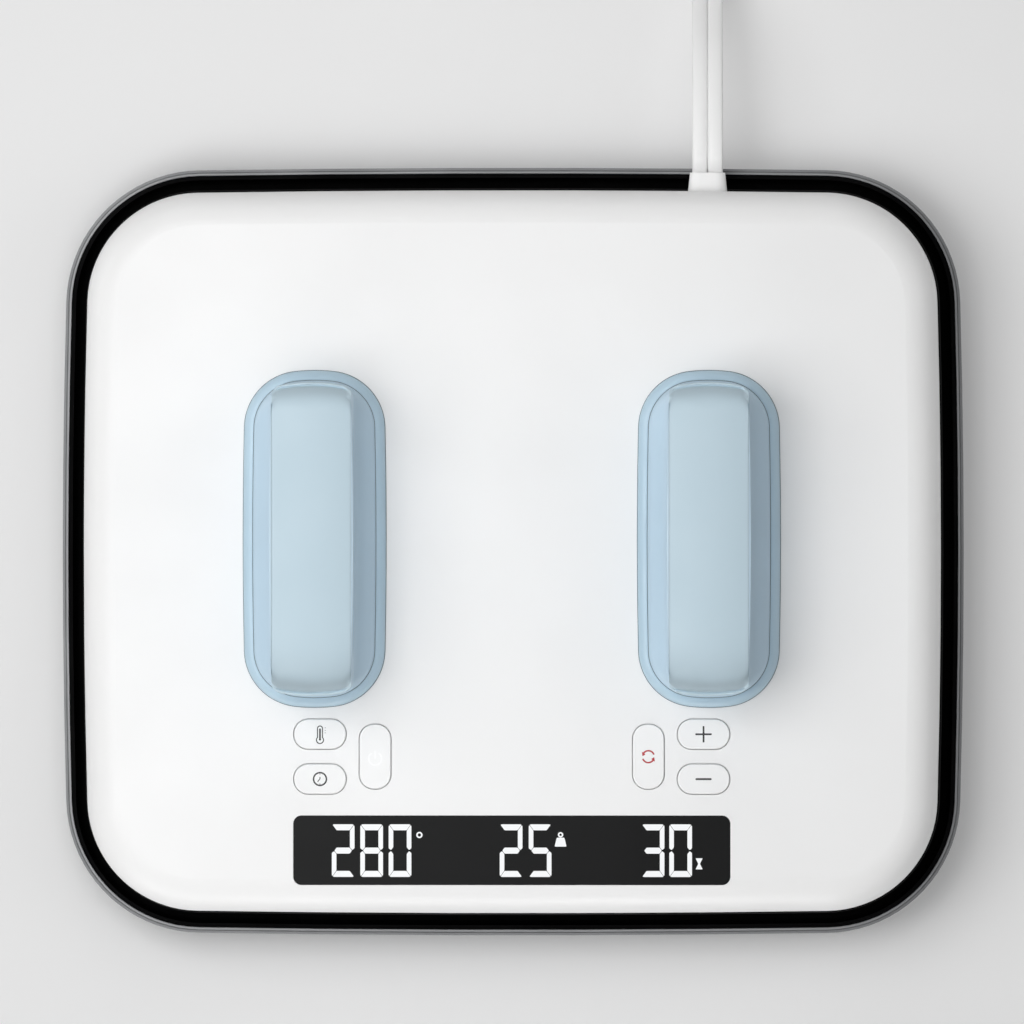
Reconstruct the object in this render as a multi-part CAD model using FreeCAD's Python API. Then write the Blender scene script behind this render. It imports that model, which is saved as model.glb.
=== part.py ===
"""A craft heat press with two handles, resting in its heat-proof base, its flat lead put away behind it.

Millimetres. +X is to the right, +Y to the rear and +Z up. The origin is the bottom centre of the base, on
the table. The press is an aluminium hot plate under an insulated housing. A steel frame inside carries
both handles, and four load cells under it weigh how hard they are pushed. Every ring-shaped piece follows
one plan outline, grown or shrunk.
"""
import FreeCAD, Part
import math
import os

V = FreeCAD.Vector
X_AXIS, Y_AXIS, Z_AXIS = V(1, 0, 0), V(0, 1, 0), V(0, 0, 1)

# Plan outline of the white cover: bowed sides between rounded corners
COVER_W = 325.6
COVER_D = 274.6
CORNER_R = 42.5
REAR_ARC_R = 8000.0
SIDE_ARC_R = 3400.0

# Base, from the table up
FOOT_H = 3.0
FOOT_R = 10.0
FOOT_POCKET = 1.0
SHELL_FLOOR = 2.5
SHELL_H = 27.0
SHELL_EDGE_R = 7.0
RIM_REACH = 9.1
RIM_W = 2.1
RIM_GROOVE_W = 0.35
RIM_GROOVE_DEPTH = 0.5
FELT_T = 3.0
LINER_T = 1.5
LINER_DROP = 0.8
LINER_EDGE_R = 3.6
PAD_H = 4.0
PAD_L = 26.0
PAD_W = 12.0
PAD_IN = 30.0
PAD_Y = 48.0
PAD_SCREW_R = 1.5
PAD_SCREW_HEAD_H = 1.6

# Hot plate and what lies over it
PLATE_INSET = 10.0
PLATE_T = 10.0
PLATE_EDGE_R = 1.2
ELEMENT_R = 3.25
ELEMENT_IN = 18.5
ELEMENT_PITCH_X = 72.0
ELEMENT_PITCH_Y = 55.0
ELEMENT_BEND_R = 16.0
TERMINAL_X = 15.0
TERMINAL_R = 4.5
TERMINAL_H = 18.0
TAB_H = 7.0
BLANKET_T = 6.0
BLANKET_INSET = 13.0
SHIELD_T = 0.8
SHIELD_INSET = 11.0
SHIELD_RIM_H = 4.5
SPACER_H = 11.5
SPACER_R = 6.0
SENSOR_Y = 25.0
SENSOR_FROM_BAR = 14.0
SENSOR_R = 4.8
SENSOR_H = 4.0
CUTOUT_R = 8.0
CUTOUT_H = 9.0
FUSE_R = 2.2
FUSE_L = 16.0
FUSE_FOOT_H = 1.0

# Lower housing and cover
SKIRT_OUT = 1.2
SKIRT_WALL = 2.5
SKIRT_UP = 3.0
SKIRT_LIP = 6.2
SKIRT_LIP_T = 2.0
SKIRT_EDGE_R = 0.9
DECK_T = 2.5
TONGUE_T = 1.5
TONGUE_H = 3.0
COVER_H = 30.0
COVER_WALL = 2.5
SHOULDER_W = 12.5
SHOULDER_H = 14.0
SHOULDER_IN_W = 6.5
BOSS_R = 4.5
BOSS_EDGE = 10.5
COVER_SCREW_UP = 12.0
PAN_HEAD_H = 2.4

# Handles
HANDLE_FROM_SIDE = 88.1
HANDLE_Y = 4.9
HANDLE_W = 54.0
HANDLE_L = 127.5
HANDLE_CORNER_R = 21.5
HANDLE_END_R = 65.0
HANDLE_SIDE_R = 2000.0
FLANGE_H = 4.5
FLANGE_EDGE_R = 3.0
GRIP_INSET = 3.75
GRIP_H = 47.5
STRAP_W = 31.4
STRAP_CORNER_R = 4.5
GRIP_END_TAPER = 1.0
GRIP_ROLL_R = 11.0
GRIP_CROWN_R = 60.0
# Height over the flange, and how much of the foot's overhang is left there
GRIP_FLARE = [(0.0, 1.0), (1.0, 0.97), (1.9, 0.86), (2.6, 0.7), (3.3, 0.52), (4.3, 0.32), (5.5, 0.15), (6.8, 0.04)]
GRIP_FLARE_H = 8.0
SEAT_LINE_W = 0.3
SEAT_LINE_DEPTH = 0.4
FINGER_L = 85.0
FINGER_H = 24.0
FINGER_SILL = 10.0
FINGER_R = 9.0
FINGER_EDGE_R = 1.5
HANDLE_PAD_T = 1.6
HANDLE_PAD_BORDER = 0.8
HANDLE_PAD_DOWN = 14.0
HANDLE_BOSS_R = 8.0
HANDLE_BOLT_Y = 51.0
HANDLE_BOLT_L = 52.0

# Frame under the handles and its load cells
CELL_SIDE = 34.0
CELL_H = 6.5
CELL_R = 3.0
CELL_FROM_SIDE = 52.8
CELL_Y = 40.0
FRAME_T = 2.5
FRAME_PAST_CELL = 19.0
FRAME_D = 124.0
FRAME_BAR_W = 26.7
FRAME_BAR_D = 20.0
FRAME_CORNER_R = 12.0

# Screws by thread radius
M2 = 1.3
M3 = 1.5
M4 = 2.0
M6 = 3.0
HOLE_PLAY = 0.25
THREAD_PLAY = 0.05

# Display and buttons
DISPLAY_W = 165.4
DISPLAY_L = 26.1
DISPLAY_R = 3.0
DISPLAY_Y = -113.1
LENS_T = 2.3
LENS_LIP = 2.0
LENS_LIP_T = 1.8
MODULE_H = 5.4
MODULE_IN = 1.5
WELL_PITCH = 50.0
WELL_W = 38.0
WELL_L = 21.0
WELL_DEPTH = 0.6
GASKET_W = 1.8
BUTTON_W = 19.75
BUTTON_L = 11.35
BUTTON_SLIM = 11.9
BUTTON_LONG = 24.5
BUTTON_R = 5.5
BUTTON_FROM_DISPLAY = 0.15
BUTTON_PITCH_X = 20.9
BUTTON_TOP_Y = -69.1
BUTTON_LOW_Y = -86.1
BUTTON_PROUD = 0.4
BUTTON_EDGE_R = 0.5
BUTTON_LIP = 1.2
BUTTON_LIP_T = 1.2
BUTTON_TRAVEL = 0.8
BUTTON_STEM_R = 2.5
SWITCH_SIDE = 6.0
SWITCH_H = 3.5
PLUNGER_R = 1.7
PLUNGER_H = 1.5

# Boards
BOARD_T = 1.6
BOARD_CORNER_R = 3.0
CONTROL_PAST_DISPLAY = 10.3
CONTROL_D = 70.0
CONTROL_Y = -95.0
POWER_FROM_SIDE = 32.8
POWER_FROM_TERMINAL = 15.0
POWER_D = 48.0
POWER_Y = 101.0
POWER_UP = 7.0
BOARD_SCREW_L = 5.0
POST_R = 3.5
POST_IN = 6.0
RELAY = (20.0, 16.0, 14.0)
RELAY_IN = 44.0
RELAY_DOWN = 6.0
RELAY_EDGE_R = 0.8
CAPACITOR_R = 5.0
CAPACITOR_H = 11.0
CAPACITOR_UP = 14.0
BOARD_BLOCK = (12.0, 29.0, 11.0)
BOARD_BLOCK_IN = 10.0
BOARD_WAY = 7.0
TRIAC = (4.5, 10.0, 15.0)
CHIP = (12.0, 12.0, 1.4)
CHIP_X = 24.0
SINK = (34.0, 26.0, 13.0)
SINK_FINS = 6
SINK_IN = 3.0
SINK_BASE_T = 3.0
SINK_TO_TRIAC = 0.25
BUZZER_R = 6.0
BUZZER_H = 8.0
CONNECTOR = (11.0, 6.0, 5.0)
RIBBON_IN = 15.0
RIBBON_OUT_RUN = 18.0
RIBBON_IN_RUN = 28.0
RIBBON_W = 9.0
RIBBON_T = 0.9
RIBBON_BEND = 14.0
BLOCK = (24.0, 16.0, 13.0)
BLOCK_Y = 84.0
BLOCK_SCREW_R = 2.6
BLOCK_SCREW_DEPTH = 3.0
LEAD_R = 1.4
LEAD_BEND = 3.0
LEAD_LEVEL = 20.0
LEAD_SLOPE = 20.0
LEAD_UP = 3.0
LEAD_OVER_TAB = 5.0
LEAD_TURN = 6.0
SENSOR_LEAD_R = 1.1
SENSOR_LEAD_BEND = 12.0

# Flat two-core lead
CORD_W = 11.7
CORD_T = 5.9
CORD_FROM_SIDE = 88.6
CORD_UP = 8.0
CORD_FALL = [(190.0, 37.8), (210.8, 21.2), (234.2, 8.6), (259.4, 4.7)]
CORD_LAST = 22.3
BOOT_OUT = 7.2
BOOT_W = 15.4
BOOT_END_W = 13.4
BOOT_H = 9.6
BOOT_END_H = 8.2
BOOT_FLANGE_T = 2.2
BOOT_FLANGE_OUT = 1.6
JACKET_IN = 32.0
CLAMP = (26.0, 10.0, 14.0)
CLAMP_IN = 3.0
TAIL_RUN = 32.0
TAIL_FALL = [(64.0, 4.0), (95.0, 15.0)]
COIL_R = 72.0
COIL_Y = 304.0
COIL_TURNS_IN = 2
COIL_GAP = 0.6
COIL_LEAN = 0.5
TIE_T = 0.8
TIE_W = 12.0
TIE_GAP = 0.3
PLUG_W = 26.0
PLUG_H = 17.0
PLUG_L = 30.0
PLUG_NECK = 18.0
BLADE_L = 17.0
BLADE_ROOT = 8.0
BLADE_HOLE_R = 1.5
BLADE_T = 1.5
BLADE_WIDTHS = (6.35, 7.9)
BLADE_PITCH = 12.7

# Play between pieces
FIT = 0.15
CAP_GAP = 0.3

# Levels, from the table up
z_shell = FOOT_H
z_felt = z_shell + SHELL_FLOOR
z_liner = z_felt + FELT_T
z_pad = z_liner + LINER_T
z_plate = z_pad + PAD_H
z_rim = z_shell + SHELL_H
z_blanket = z_plate + PLATE_T
z_shield = z_blanket + BLANKET_T
z_deck = z_blanket + SPACER_H
z_split = z_deck + DECK_T
z_top = z_split + COVER_H
z_ceiling = z_top - COVER_WALL
z_frame = z_split + CELL_H
z_frame_top = z_frame + FRAME_T
z_flange = z_top + FLANGE_H
z_grip = z_flange + GRIP_H
z_lens = z_top - LENS_T
z_lip = z_ceiling - LENS_LIP_T
z_cap_lip = z_ceiling - FIT
z_stem = z_cap_lip - BUTTON_LIP_T - BUTTON_TRAVEL
z_plunger = z_stem - BUTTON_TRAVEL - 0.05
z_control_top = z_plunger - PLUNGER_H - SWITCH_H
z_control = z_control_top - BOARD_T
z_power = z_split + POWER_UP
z_power_top = z_power + BOARD_T
z_cord = z_split + CORD_UP
z_lay = TIE_T + TIE_GAP + 0.05 + CORD_T / 2

cover_shape = (COVER_W, COVER_D, CORNER_R, REAR_ARC_R, SIDE_ARC_R)
handle_shape = (HANDLE_W, HANDLE_L, HANDLE_CORNER_R, HANDLE_END_R, HANDLE_SIDE_R)
foot_shape = (
    HANDLE_W - 2 * GRIP_INSET,
    HANDLE_L - 2 * GRIP_INSET,
    HANDLE_CORNER_R - GRIP_INSET,
    HANDLE_END_R,
    HANDLE_SIDE_R,
)
cord_x = COVER_W / 2 - CORD_FROM_SIDE
handle_x = COVER_W / 2 - HANDLE_FROM_SIDE
cell_x = COVER_W / 2 - CELL_FROM_SIDE
sensor_x = handle_x - FRAME_BAR_W - SENSOR_FROM_BAR
button_out_x = DISPLAY_W / 2 - BUTTON_FROM_DISPLAY - BUTTON_W / 2
button_in_x = button_out_x - BUTTON_PITCH_X
control_w = DISPLAY_W + 2 * CONTROL_PAST_DISPLAY
power_left = POWER_FROM_SIDE - COVER_W / 2
power_right = -TERMINAL_X - POWER_FROM_TERMINAL
power_w = power_right - power_left
power_x = (power_left + power_right) / 2
ribbon_x = power_right - RIBBON_IN
plate_x = COVER_W / 2 - PLATE_INSET
plate_y = COVER_D / 2 - PLATE_INSET
rear_y = COVER_D / 2 - cord_x**2 / (2 * REAR_ARC_R)
boot_end_y = rear_y + BOOT_OUT


def corner_of(shape):
    """Centre of the corner arc that touches both bowed sides inside, and the angles where the arcs meet."""
    w, d, corner_r, end_r, side_r = shape
    end = (0.0, d / 2 - end_r)
    side = (w / 2 - side_r, 0.0)
    to_end, to_side = end_r - corner_r, side_r - corner_r
    gx, gy = side[0] - end[0], side[1] - end[1]
    apart = math.hypot(gx, gy)
    along = (to_end**2 - to_side**2 + apart**2) / (2 * apart)
    across = math.sqrt(to_end**2 - along**2)
    ex, ey = gx / apart, gy / apart
    found = [
        (end[0] + along * ex - s * across * ey, end[1] + along * ey + s * across * ex) for s in (1, -1)
    ]
    cx, cy = max(found, key=sum)
    return cx, cy, math.atan2(cy - side[1], cx - side[0]), math.atan2(cy - end[1], cx - end[0])


def soft_outline(shape, grow, z, at=(0.0, 0.0)):
    """Closed wire of four bowed sides and four corner arcs, grown by one distance all round."""
    w, d, corner_r, end_r, side_r = shape
    cx, cy, low, high = corner_of(shape)

    def on_corner(angle):
        return cx + (corner_r + grow) * math.cos(angle), cy + (corner_r + grow) * math.sin(angle)

    corner = [on_corner(low), on_corner((low + high) / 2), on_corner(high)]
    half_w, half_d = w / 2 + grow, d / 2 + grow
    ring = corner + [(0, half_d)]
    ring += [(-x, y) for x, y in reversed(corner)] + [(-half_w, 0)]
    ring += [(-x, -y) for x, y in corner] + [(0, -half_d)]
    ring += [(x, -y) for x, y in reversed(corner)] + [(half_w, 0)]
    points = [V(x + at[0], y + at[1], z) for x, y in ring]
    count = len(points)
    arcs = [Part.Arc(points[i], points[i + 1], points[(i + 2) % count]) for i in range(0, count, 2)]
    return Part.Wire([arc.toShape() for arc in arcs])


def press_slab(grow, z0, z1):
    """Slab with the cover's plan outline, grown by one distance."""
    return Part.Face(soft_outline(cover_shape, grow, z0)).extrude(Z_AXIS * (z1 - z0))


def seat_line(shape, z, at=(0.0, 0.0)):
    """Fine groove round the foot of a piece, to be cut from the face that it stands on."""
    low = z - SEAT_LINE_DEPTH
    wide = Part.Face(soft_outline(shape, SEAT_LINE_W, low, at)).extrude(Z_AXIS * 1.0)
    return wide.cut(Part.Face(soft_outline(shape, 0, low, at)).extrude(Z_AXIS * 1.0))


def level_edges(solid, z):
    """Edges that lie flat at one height."""
    return [e for e in solid.Edges if abs(e.BoundBox.ZMin - z) < 0.02 and abs(e.BoundBox.ZMax - z) < 0.02]


def rounded_at(solid, z, r):
    """The solid with its edges at one height rounded over."""
    return solid.makeFillet(r, level_edges(solid, z))


def block(cx, cy, z0, size):
    """Box by its centre in plan, its bottom and its three sizes."""
    w, d, h = size
    return Part.makeBox(w, d, h, V(cx - w / 2, cy - d / 2, z0))


def round_rect(cx, cy, z, w, d, r):
    """Closed wire of a rectangle with round corners, lying flat."""
    r = min(r, w / 2 - 0.01, d / 2 - 0.01)
    corners = []
    for quarter, (sx, sy) in enumerate(((1, -1), (1, 1), (-1, 1), (-1, -1))):
        middle_x, middle_y = cx + sx * (w / 2 - r), cy + sy * (d / 2 - r)
        angles = [(quarter - 1 + t) * math.pi / 2 for t in (0, 0.5, 1)]
        corners.append([V(middle_x + r * math.cos(a), middle_y + r * math.sin(a), z) for a in angles])
    edges = []
    for corner, following in zip(corners, corners[1:] + corners[:1]):
        edges.append(Part.Arc(*corner).toShape())
        edges.append(Part.LineSegment(corner[2], following[0]).toShape())
    return Part.Wire(edges)


def round_slab(cx, cy, z0, z1, w, d, r):
    """Slab of a rectangle with round corners."""
    return Part.Face(round_rect(cx, cy, z0, w, d, r)).extrude(Z_AXIS * (z1 - z0))


def rod(cx, cy, z0, z1, r):
    """Upright round bar."""
    return Part.makeCylinder(r, z1 - z0, V(cx, cy, z0))


def rods(places, z0, z1, r):
    """One upright bar at each place, as a group."""
    return Part.makeCompound([rod(x, y, z0, z1, r) for x, y in places])


def screws(places, z_seat, z_tip, r, head_r, head_h):
    """Pan-head screws. The head lies on the side of the seat away from the tip, and has a cross slot."""
    up = 1 if z_tip < z_seat else -1
    made = []
    for x, y in places:
        head_z = z_seat if up > 0 else z_seat - head_h
        head = rod(x, y, head_z, head_z + head_h, head_r)
        slot_z = head_z + head_h / 2 if up > 0 else head_z - 0.1
        long, thin = head_r * 1.2, head_r * 0.25
        for w, d in ((long, thin), (thin, long)):
            head = head.cut(block(x, y, slot_z, (w, d, head_h / 2 + 0.1)))
        made.append(head.fuse(rod(x, y, min(z_seat, z_tip), max(z_seat, z_tip), r)))
    return Part.makeCompound(made)


def four_about(cx, cy, dx, dy):
    """Four places at the corners of a rectangle, by its centre and half sizes."""
    return [(cx + sx * dx, cy + sy * dy) for sx in (1, -1) for sy in (1, -1)]


def rounded_path(points, r):
    """Wire of straight runs joined by tangent arcs of one radius."""
    return path_with(points, [r] * (len(points) - 2))


def path_with(points, radii):
    """Wire of straight runs joined by tangent arcs, one radius for each point between the ends."""
    parts = []
    start = points[0]
    for i, r in enumerate(radii, 1):
        back = (points[i - 1] - points[i]).normalize()
        on = (points[i + 1] - points[i]).normalize()
        half = back.getAngle(on) / 2
        tangent = r / math.tan(half)
        a, b = points[i] + back * tangent, points[i] + on * tangent
        to_middle = (back + on).normalize()
        middle = points[i] + to_middle * (r / math.sin(half) - r)
        if (a - start).Length > 1e-6:
            parts.append(Part.LineSegment(start, a).toShape())
        parts.append(Part.Arc(a, middle, b).toShape())
        start = b
    parts.append(Part.LineSegment(start, points[-1]).toShape())
    return Part.Wire(parts)


def round_sweep(path, r):
    """Round bar along a path."""
    first = path.OrderedEdges[0]
    start = first.valueAt(first.FirstParameter)
    ring = Part.Wire(Part.makeCircle(r, start, first.tangentAt(first.FirstParameter)))
    return path.makePipeShell([ring], True, False)


def flat_ring(centre, along, side, w, t):
    """Closed wire of a flat lead's section: two straight sides and two round edges, square to its run."""
    up = along.cross(side).normalize()
    half = (w - t) / 2
    signs = ((-1, -1), (1, -1), (1, 1), (-1, 1))
    corners = [centre + side * (sx * half) + up * (sy * t / 2) for sx, sy in signs]
    right, left = centre + side * (half + t / 2), centre - side * (half + t / 2)
    return Part.Wire([
        Part.LineSegment(corners[0], corners[1]).toShape(),
        Part.Arc(corners[1], right, corners[2]).toShape(),
        Part.LineSegment(corners[2], corners[3]).toShape(),
        Part.Arc(corners[3], left, corners[0]).toShape(),
    ])


def place_copies(shape, places):
    """The shape, made at the origin, copied to each place."""
    made = []
    for x, y in places:
        copy = shape.copy()
        copy.translate(V(x, y, 0))
        made.append(copy)
    return Part.makeCompound(made)


corner_x, corner_y = corner_of(cover_shape)[:2]
foot_places = four_about(0, 0, corner_x, corner_y)
pad_places = four_about(0, 0, plate_x - PAD_IN, PAD_Y) + [(0, plate_y - PAD_IN), (0, PAD_IN - plate_y)]
boss_reach = (CORNER_R - BOSS_EDGE) * math.sqrt(0.5)
boss_places = four_about(0, 0, corner_x + boss_reach, corner_y + boss_reach)
boss_places += [(COVER_W / 2 - BOSS_EDGE, 0), (BOSS_EDGE - COVER_W / 2, 0)]
element_x, element_y = plate_x - ELEMENT_IN, plate_y - ELEMENT_IN
spacer_x = element_x - ELEMENT_PITCH_X / 2
spacer_y = element_y - ELEMENT_PITCH_Y / 2
spacer_places = four_about(0, 0, spacer_x, spacer_y) + [(spacer_x, 0), (-spacer_x, 0)]
terminal_places = [(-TERMINAL_X, element_y), (TERMINAL_X, element_y)]
bolt_places = {s: [(s * handle_x, HANDLE_Y + k * HANDLE_BOLT_Y) for k in (1, -1)] for s in (-1, 1)}
cell_places = four_about(0, HANDLE_Y, cell_x, CELL_Y)
control_posts = four_about(0, CONTROL_Y, control_w / 2 - POST_IN, CONTROL_D / 2 - POST_IN)
power_posts = four_about(power_x, POWER_Y, power_w / 2 - POST_IN, POWER_D / 2 - POST_IN)
board_block_x = power_right - BOARD_BLOCK_IN
board_face = board_block_x + BOARD_BLOCK[0] / 2
way_y = [POWER_Y + (i - 1.5) * BOARD_WAY for i in range(4)]
middle_row = (BUTTON_TOP_Y + BUTTON_LOW_Y) / 2
buttons = {
    "button_temperature": (-button_out_x, BUTTON_TOP_Y, BUTTON_W, BUTTON_L),
    "button_timer": (-button_out_x, BUTTON_LOW_Y, BUTTON_W, BUTTON_L),
    "button_power": (-button_in_x, middle_row, BUTTON_SLIM, BUTTON_LONG),
    "button_mode": (button_in_x, middle_row, BUTTON_SLIM, BUTTON_LONG),
    "button_plus": (button_out_x, BUTTON_TOP_Y, BUTTON_W, BUTTON_L),
    "button_minus": (button_out_x, BUTTON_LOW_Y, BUTTON_W, BUTTON_L),
}


def base_pieces():
    """Grey tray with its thin two-line rim, felt, black liner, silicone pads and their screws, rubber feet."""
    inner = RIM_REACH - RIM_W
    shell = rounded_at(press_slab(RIM_REACH, z_shell, z_rim), z_shell, SHELL_EDGE_R)
    hollow = rounded_at(press_slab(inner, z_felt, z_rim + 1), z_felt, SHELL_EDGE_R - RIM_W)
    shell = shell.cut(hollow)
    middle = RIM_REACH - RIM_W / 2
    groove = press_slab(middle + RIM_GROOVE_W / 2, z_rim - RIM_GROOVE_DEPTH, z_rim + 1)
    groove = groove.cut(press_slab(middle - RIM_GROOVE_W / 2, z_rim - RIM_GROOVE_DEPTH, z_rim + 1))
    shell = shell.cut(groove)
    shell = shell.cut(rods(foot_places, z_shell - 1, z_shell + FOOT_POCKET, FOOT_R + FIT))
    through = rods(pad_places, z_shell - 1, z_pad + 1, PAD_SCREW_R + HOLE_PLAY)
    shell = shell.cut(through)

    felt = press_slab(RIM_REACH - SHELL_EDGE_R - FIT, z_felt, z_liner).cut(through)

    liner = rounded_at(press_slab(inner - FIT, z_liner, z_rim - LINER_DROP), z_liner, LINER_EDGE_R)
    well = rounded_at(press_slab(inner - FIT - LINER_T, z_pad, z_rim), z_pad, LINER_EDGE_R - LINER_T)
    liner = liner.cut(well).cut(through)

    tip = z_pad + PAD_H * 0.7
    pad = round_slab(0, 0, z_pad, z_plate, PAD_L, PAD_W, PAD_W / 3)
    pad = pad.cut(rod(0, 0, z_pad - 1, tip + FIT, PAD_SCREW_R + THREAD_PLAY))
    foot = rounded_at(rod(0, 0, 0, z_shell + FOOT_POCKET, FOOT_R), 0, 0.8)
    return {
        "base_shell": shell,
        "base_felt": felt,
        "base_liner": liner,
        "rest_pads": place_copies(pad, pad_places),
        "pad_screws": screws(pad_places, z_shell, tip, PAD_SCREW_R, PAD_SCREW_R * 1.9, PAD_SCREW_HEAD_H),
        "base_feet": place_copies(foot, foot_places),
    }


def element_path():
    """Centre line of the heating tube: an outer and an inner loop in the plate, with both ends turned up."""
    z, top = z_plate + PLATE_T / 2, z_blanket
    ox, oy = element_x, element_y
    ix, iy = ox - ELEMENT_PITCH_X, oy - ELEMENT_PITCH_Y
    outer = [(-TERMINAL_X, oy), (-ox, oy), (-ox, -oy), (ox, -oy), (ox, oy)]
    inner = [(ix, oy), (ix, -iy), (-ix, -iy), (-ix, iy), (TERMINAL_X, iy), (TERMINAL_X, oy)]
    lying = [V(x, y, z) for x, y in outer + inner]
    points = [V(-TERMINAL_X, oy, top)] + lying + [V(TERMINAL_X, oy, top)]
    upturn = (top - z) * 0.98
    return path_with(points, [upturn] + [ELEMENT_BEND_R] * (len(lying) - 2) + [upturn])


def wire_openings():
    """Openings over the terminals, sensor, cut-out and fuse, through the blanket, the shield and the deck."""
    low, high = z_blanket - 1, z_split + 1
    return [
        rods(terminal_places, low, high, TERMINAL_R + 1.5),
        rod(0, SENSOR_Y, low, high, CUTOUT_R),
        rod(sensor_x, SENSOR_Y, low, high, CUTOUT_R + 1),
        round_slab(-sensor_x, SENSOR_Y, low, high, FUSE_R * 2 + 4, FUSE_L + 8, 2),
    ]


def hot_pieces():
    """Plate with its cast-in heater, ceramic terminals, sensors, blanket, shield, spacers and screws."""
    path = element_path()
    heater = round_sweep(path, ELEMENT_R)
    plate = press_slab(-PLATE_INSET, z_plate, z_blanket)
    plate = rounded_at(plate, z_plate, PLATE_EDGE_R)
    plate = plate.cut(round_sweep(path, ELEMENT_R + 0.02))
    screw_tip = z_plate + PLATE_T * 0.4
    plate = plate.cut(rods(spacer_places, screw_tip - FIT, z_blanket + 1, M4 + THREAD_PLAY))

    posts = []
    for x, y in terminal_places:
        post = rod(x, y, z_blanket, z_blanket + TERMINAL_H, TERMINAL_R)
        post = post.fuse(rod(x, y, z_blanket, z_blanket + 2, TERMINAL_R + 1))
        tab = block(x, y, z_blanket + TERMINAL_H, (6.3, 0.8, TAB_H))
        posts.append(post.fuse(tab))

    openings = wire_openings() + [rods(spacer_places, z_blanket - 1, z_deck, SPACER_R + 0.5)]
    blanket = press_slab(-BLANKET_INSET, z_blanket, z_shield)
    shield = press_slab(-SHIELD_INSET, z_shield - SHIELD_RIM_H, z_shield + SHIELD_T)
    shield = shield.cut(press_slab(-SHIELD_INSET - SHIELD_T, z_shield - SHIELD_RIM_H - 1, z_shield))
    for hole in openings:
        blanket = blanket.cut(hole)
        shield = shield.cut(hole)

    spacer = rod(0, 0, z_blanket, z_deck, SPACER_R)
    spacer = spacer.cut(rod(0, 0, z_blanket - 1, z_deck + 1, M4 + HOLE_PLAY))
    sensor = rod(0, SENSOR_Y, z_blanket, z_blanket + SENSOR_H * 0.3, SENSOR_R)
    sensor = sensor.fuse(rod(0, SENSOR_Y, z_blanket, z_blanket + SENSOR_H, SENSOR_R / 2))
    cutout = rod(sensor_x, SENSOR_Y, z_blanket, z_blanket + CUTOUT_H * 0.6, CUTOUT_R)
    cutout = cutout.fuse(rod(sensor_x, SENSOR_Y, z_blanket, z_blanket + CUTOUT_H, CUTOUT_R * 0.7))
    z_fuse = z_blanket + FUSE_R + FUSE_FOOT_H
    fuse = Part.makeCylinder(FUSE_R, FUSE_L, V(-sensor_x, SENSOR_Y - FUSE_L / 2, z_fuse), Y_AXIS)
    fuse = fuse.fuse(
        block(-sensor_x, SENSOR_Y, z_blanket, (FUSE_R * 1.6, FUSE_L * 0.7, FUSE_R + FUSE_FOOT_H))
    )
    return {
        "heat_plate": plate,
        "heating_element": heater,
        "element_terminals": Part.makeCompound(posts),
        "plate_insulation": blanket,
        "heat_shield": shield,
        "plate_spacers": place_copies(spacer, spacer_places),
        "plate_screws": screws(spacer_places, z_split, screw_tip, M4, M4 * 1.9, PAN_HEAD_H),
        "temperature_sensor": sensor,
        "thermal_cutout": cutout,
        "thermal_fuse": fuse,
    }


def lower_housing():
    """Glossy black skirt with its deck, a tongue that the cover fits over, and posts for the boards."""
    inner = SKIRT_OUT - SKIRT_WALL
    z_low = z_plate + SKIRT_UP
    body = rounded_at(press_slab(SKIRT_OUT, z_low, z_split), z_split, SKIRT_EDGE_R)
    body = body.cut(press_slab(inner, z_low + SKIRT_LIP_T, z_deck))
    body = body.cut(press_slab(inner - SKIRT_LIP, z_low - 1, z_low + SKIRT_LIP_T + 1))
    outside = -COVER_WALL - FIT
    tongue = press_slab(outside, z_deck, z_split + TONGUE_H)
    tongue = tongue.cut(press_slab(outside - TONGUE_T, z_deck - 1, z_split + TONGUE_H + 1))
    body = body.fuse(tongue)
    for places, z in ((control_posts, z_control), (power_posts, z_power)):
        for x, y in places:
            body = body.fuse(rod(x, y, z_deck, z, POST_R))
            body = body.cut(rod(x, y, z - BOARD_SCREW_L - 0.5, z + 1, M2 + THREAD_PLAY))
    body = body.cut(rods(spacer_places, z_deck - 1, z_split + 1, M4 + HOLE_PLAY))
    body = body.cut(rods(boss_places, z_deck - 1, z_split + 1, M3 + HOLE_PLAY))
    body = body.cut(rods(cell_places, z_deck - 1, z_split + 1, M4 + THREAD_PLAY))
    for opening in wire_openings():
        body = body.cut(opening)
    inside = rear_y - COVER_WALL
    room = 2 * BOOT_FLANGE_OUT + 1
    return body.cut(wall_slab(inside - 2 * COVER_WALL, inside, BOOT_W + room, BOOT_H + room))


def pillow(grow, z0, z1, shoulder_w, shoulder_h):
    """Slab whose top edge rolls over in a quarter ellipse."""
    steps = 6
    bend = z1 - shoulder_h
    rings = []
    for i in range(steps + 1):
        a = math.pi / 2 * i / steps
        inward, up = shoulder_w * (1 - math.cos(a)), shoulder_h * math.sin(a)
        rings.append(soft_outline(cover_shape, grow - inward, bend + up))
    crown = Part.makeLoft(rings, True, False)
    return press_slab(grow, z0, bend).fuse(crown)


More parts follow.
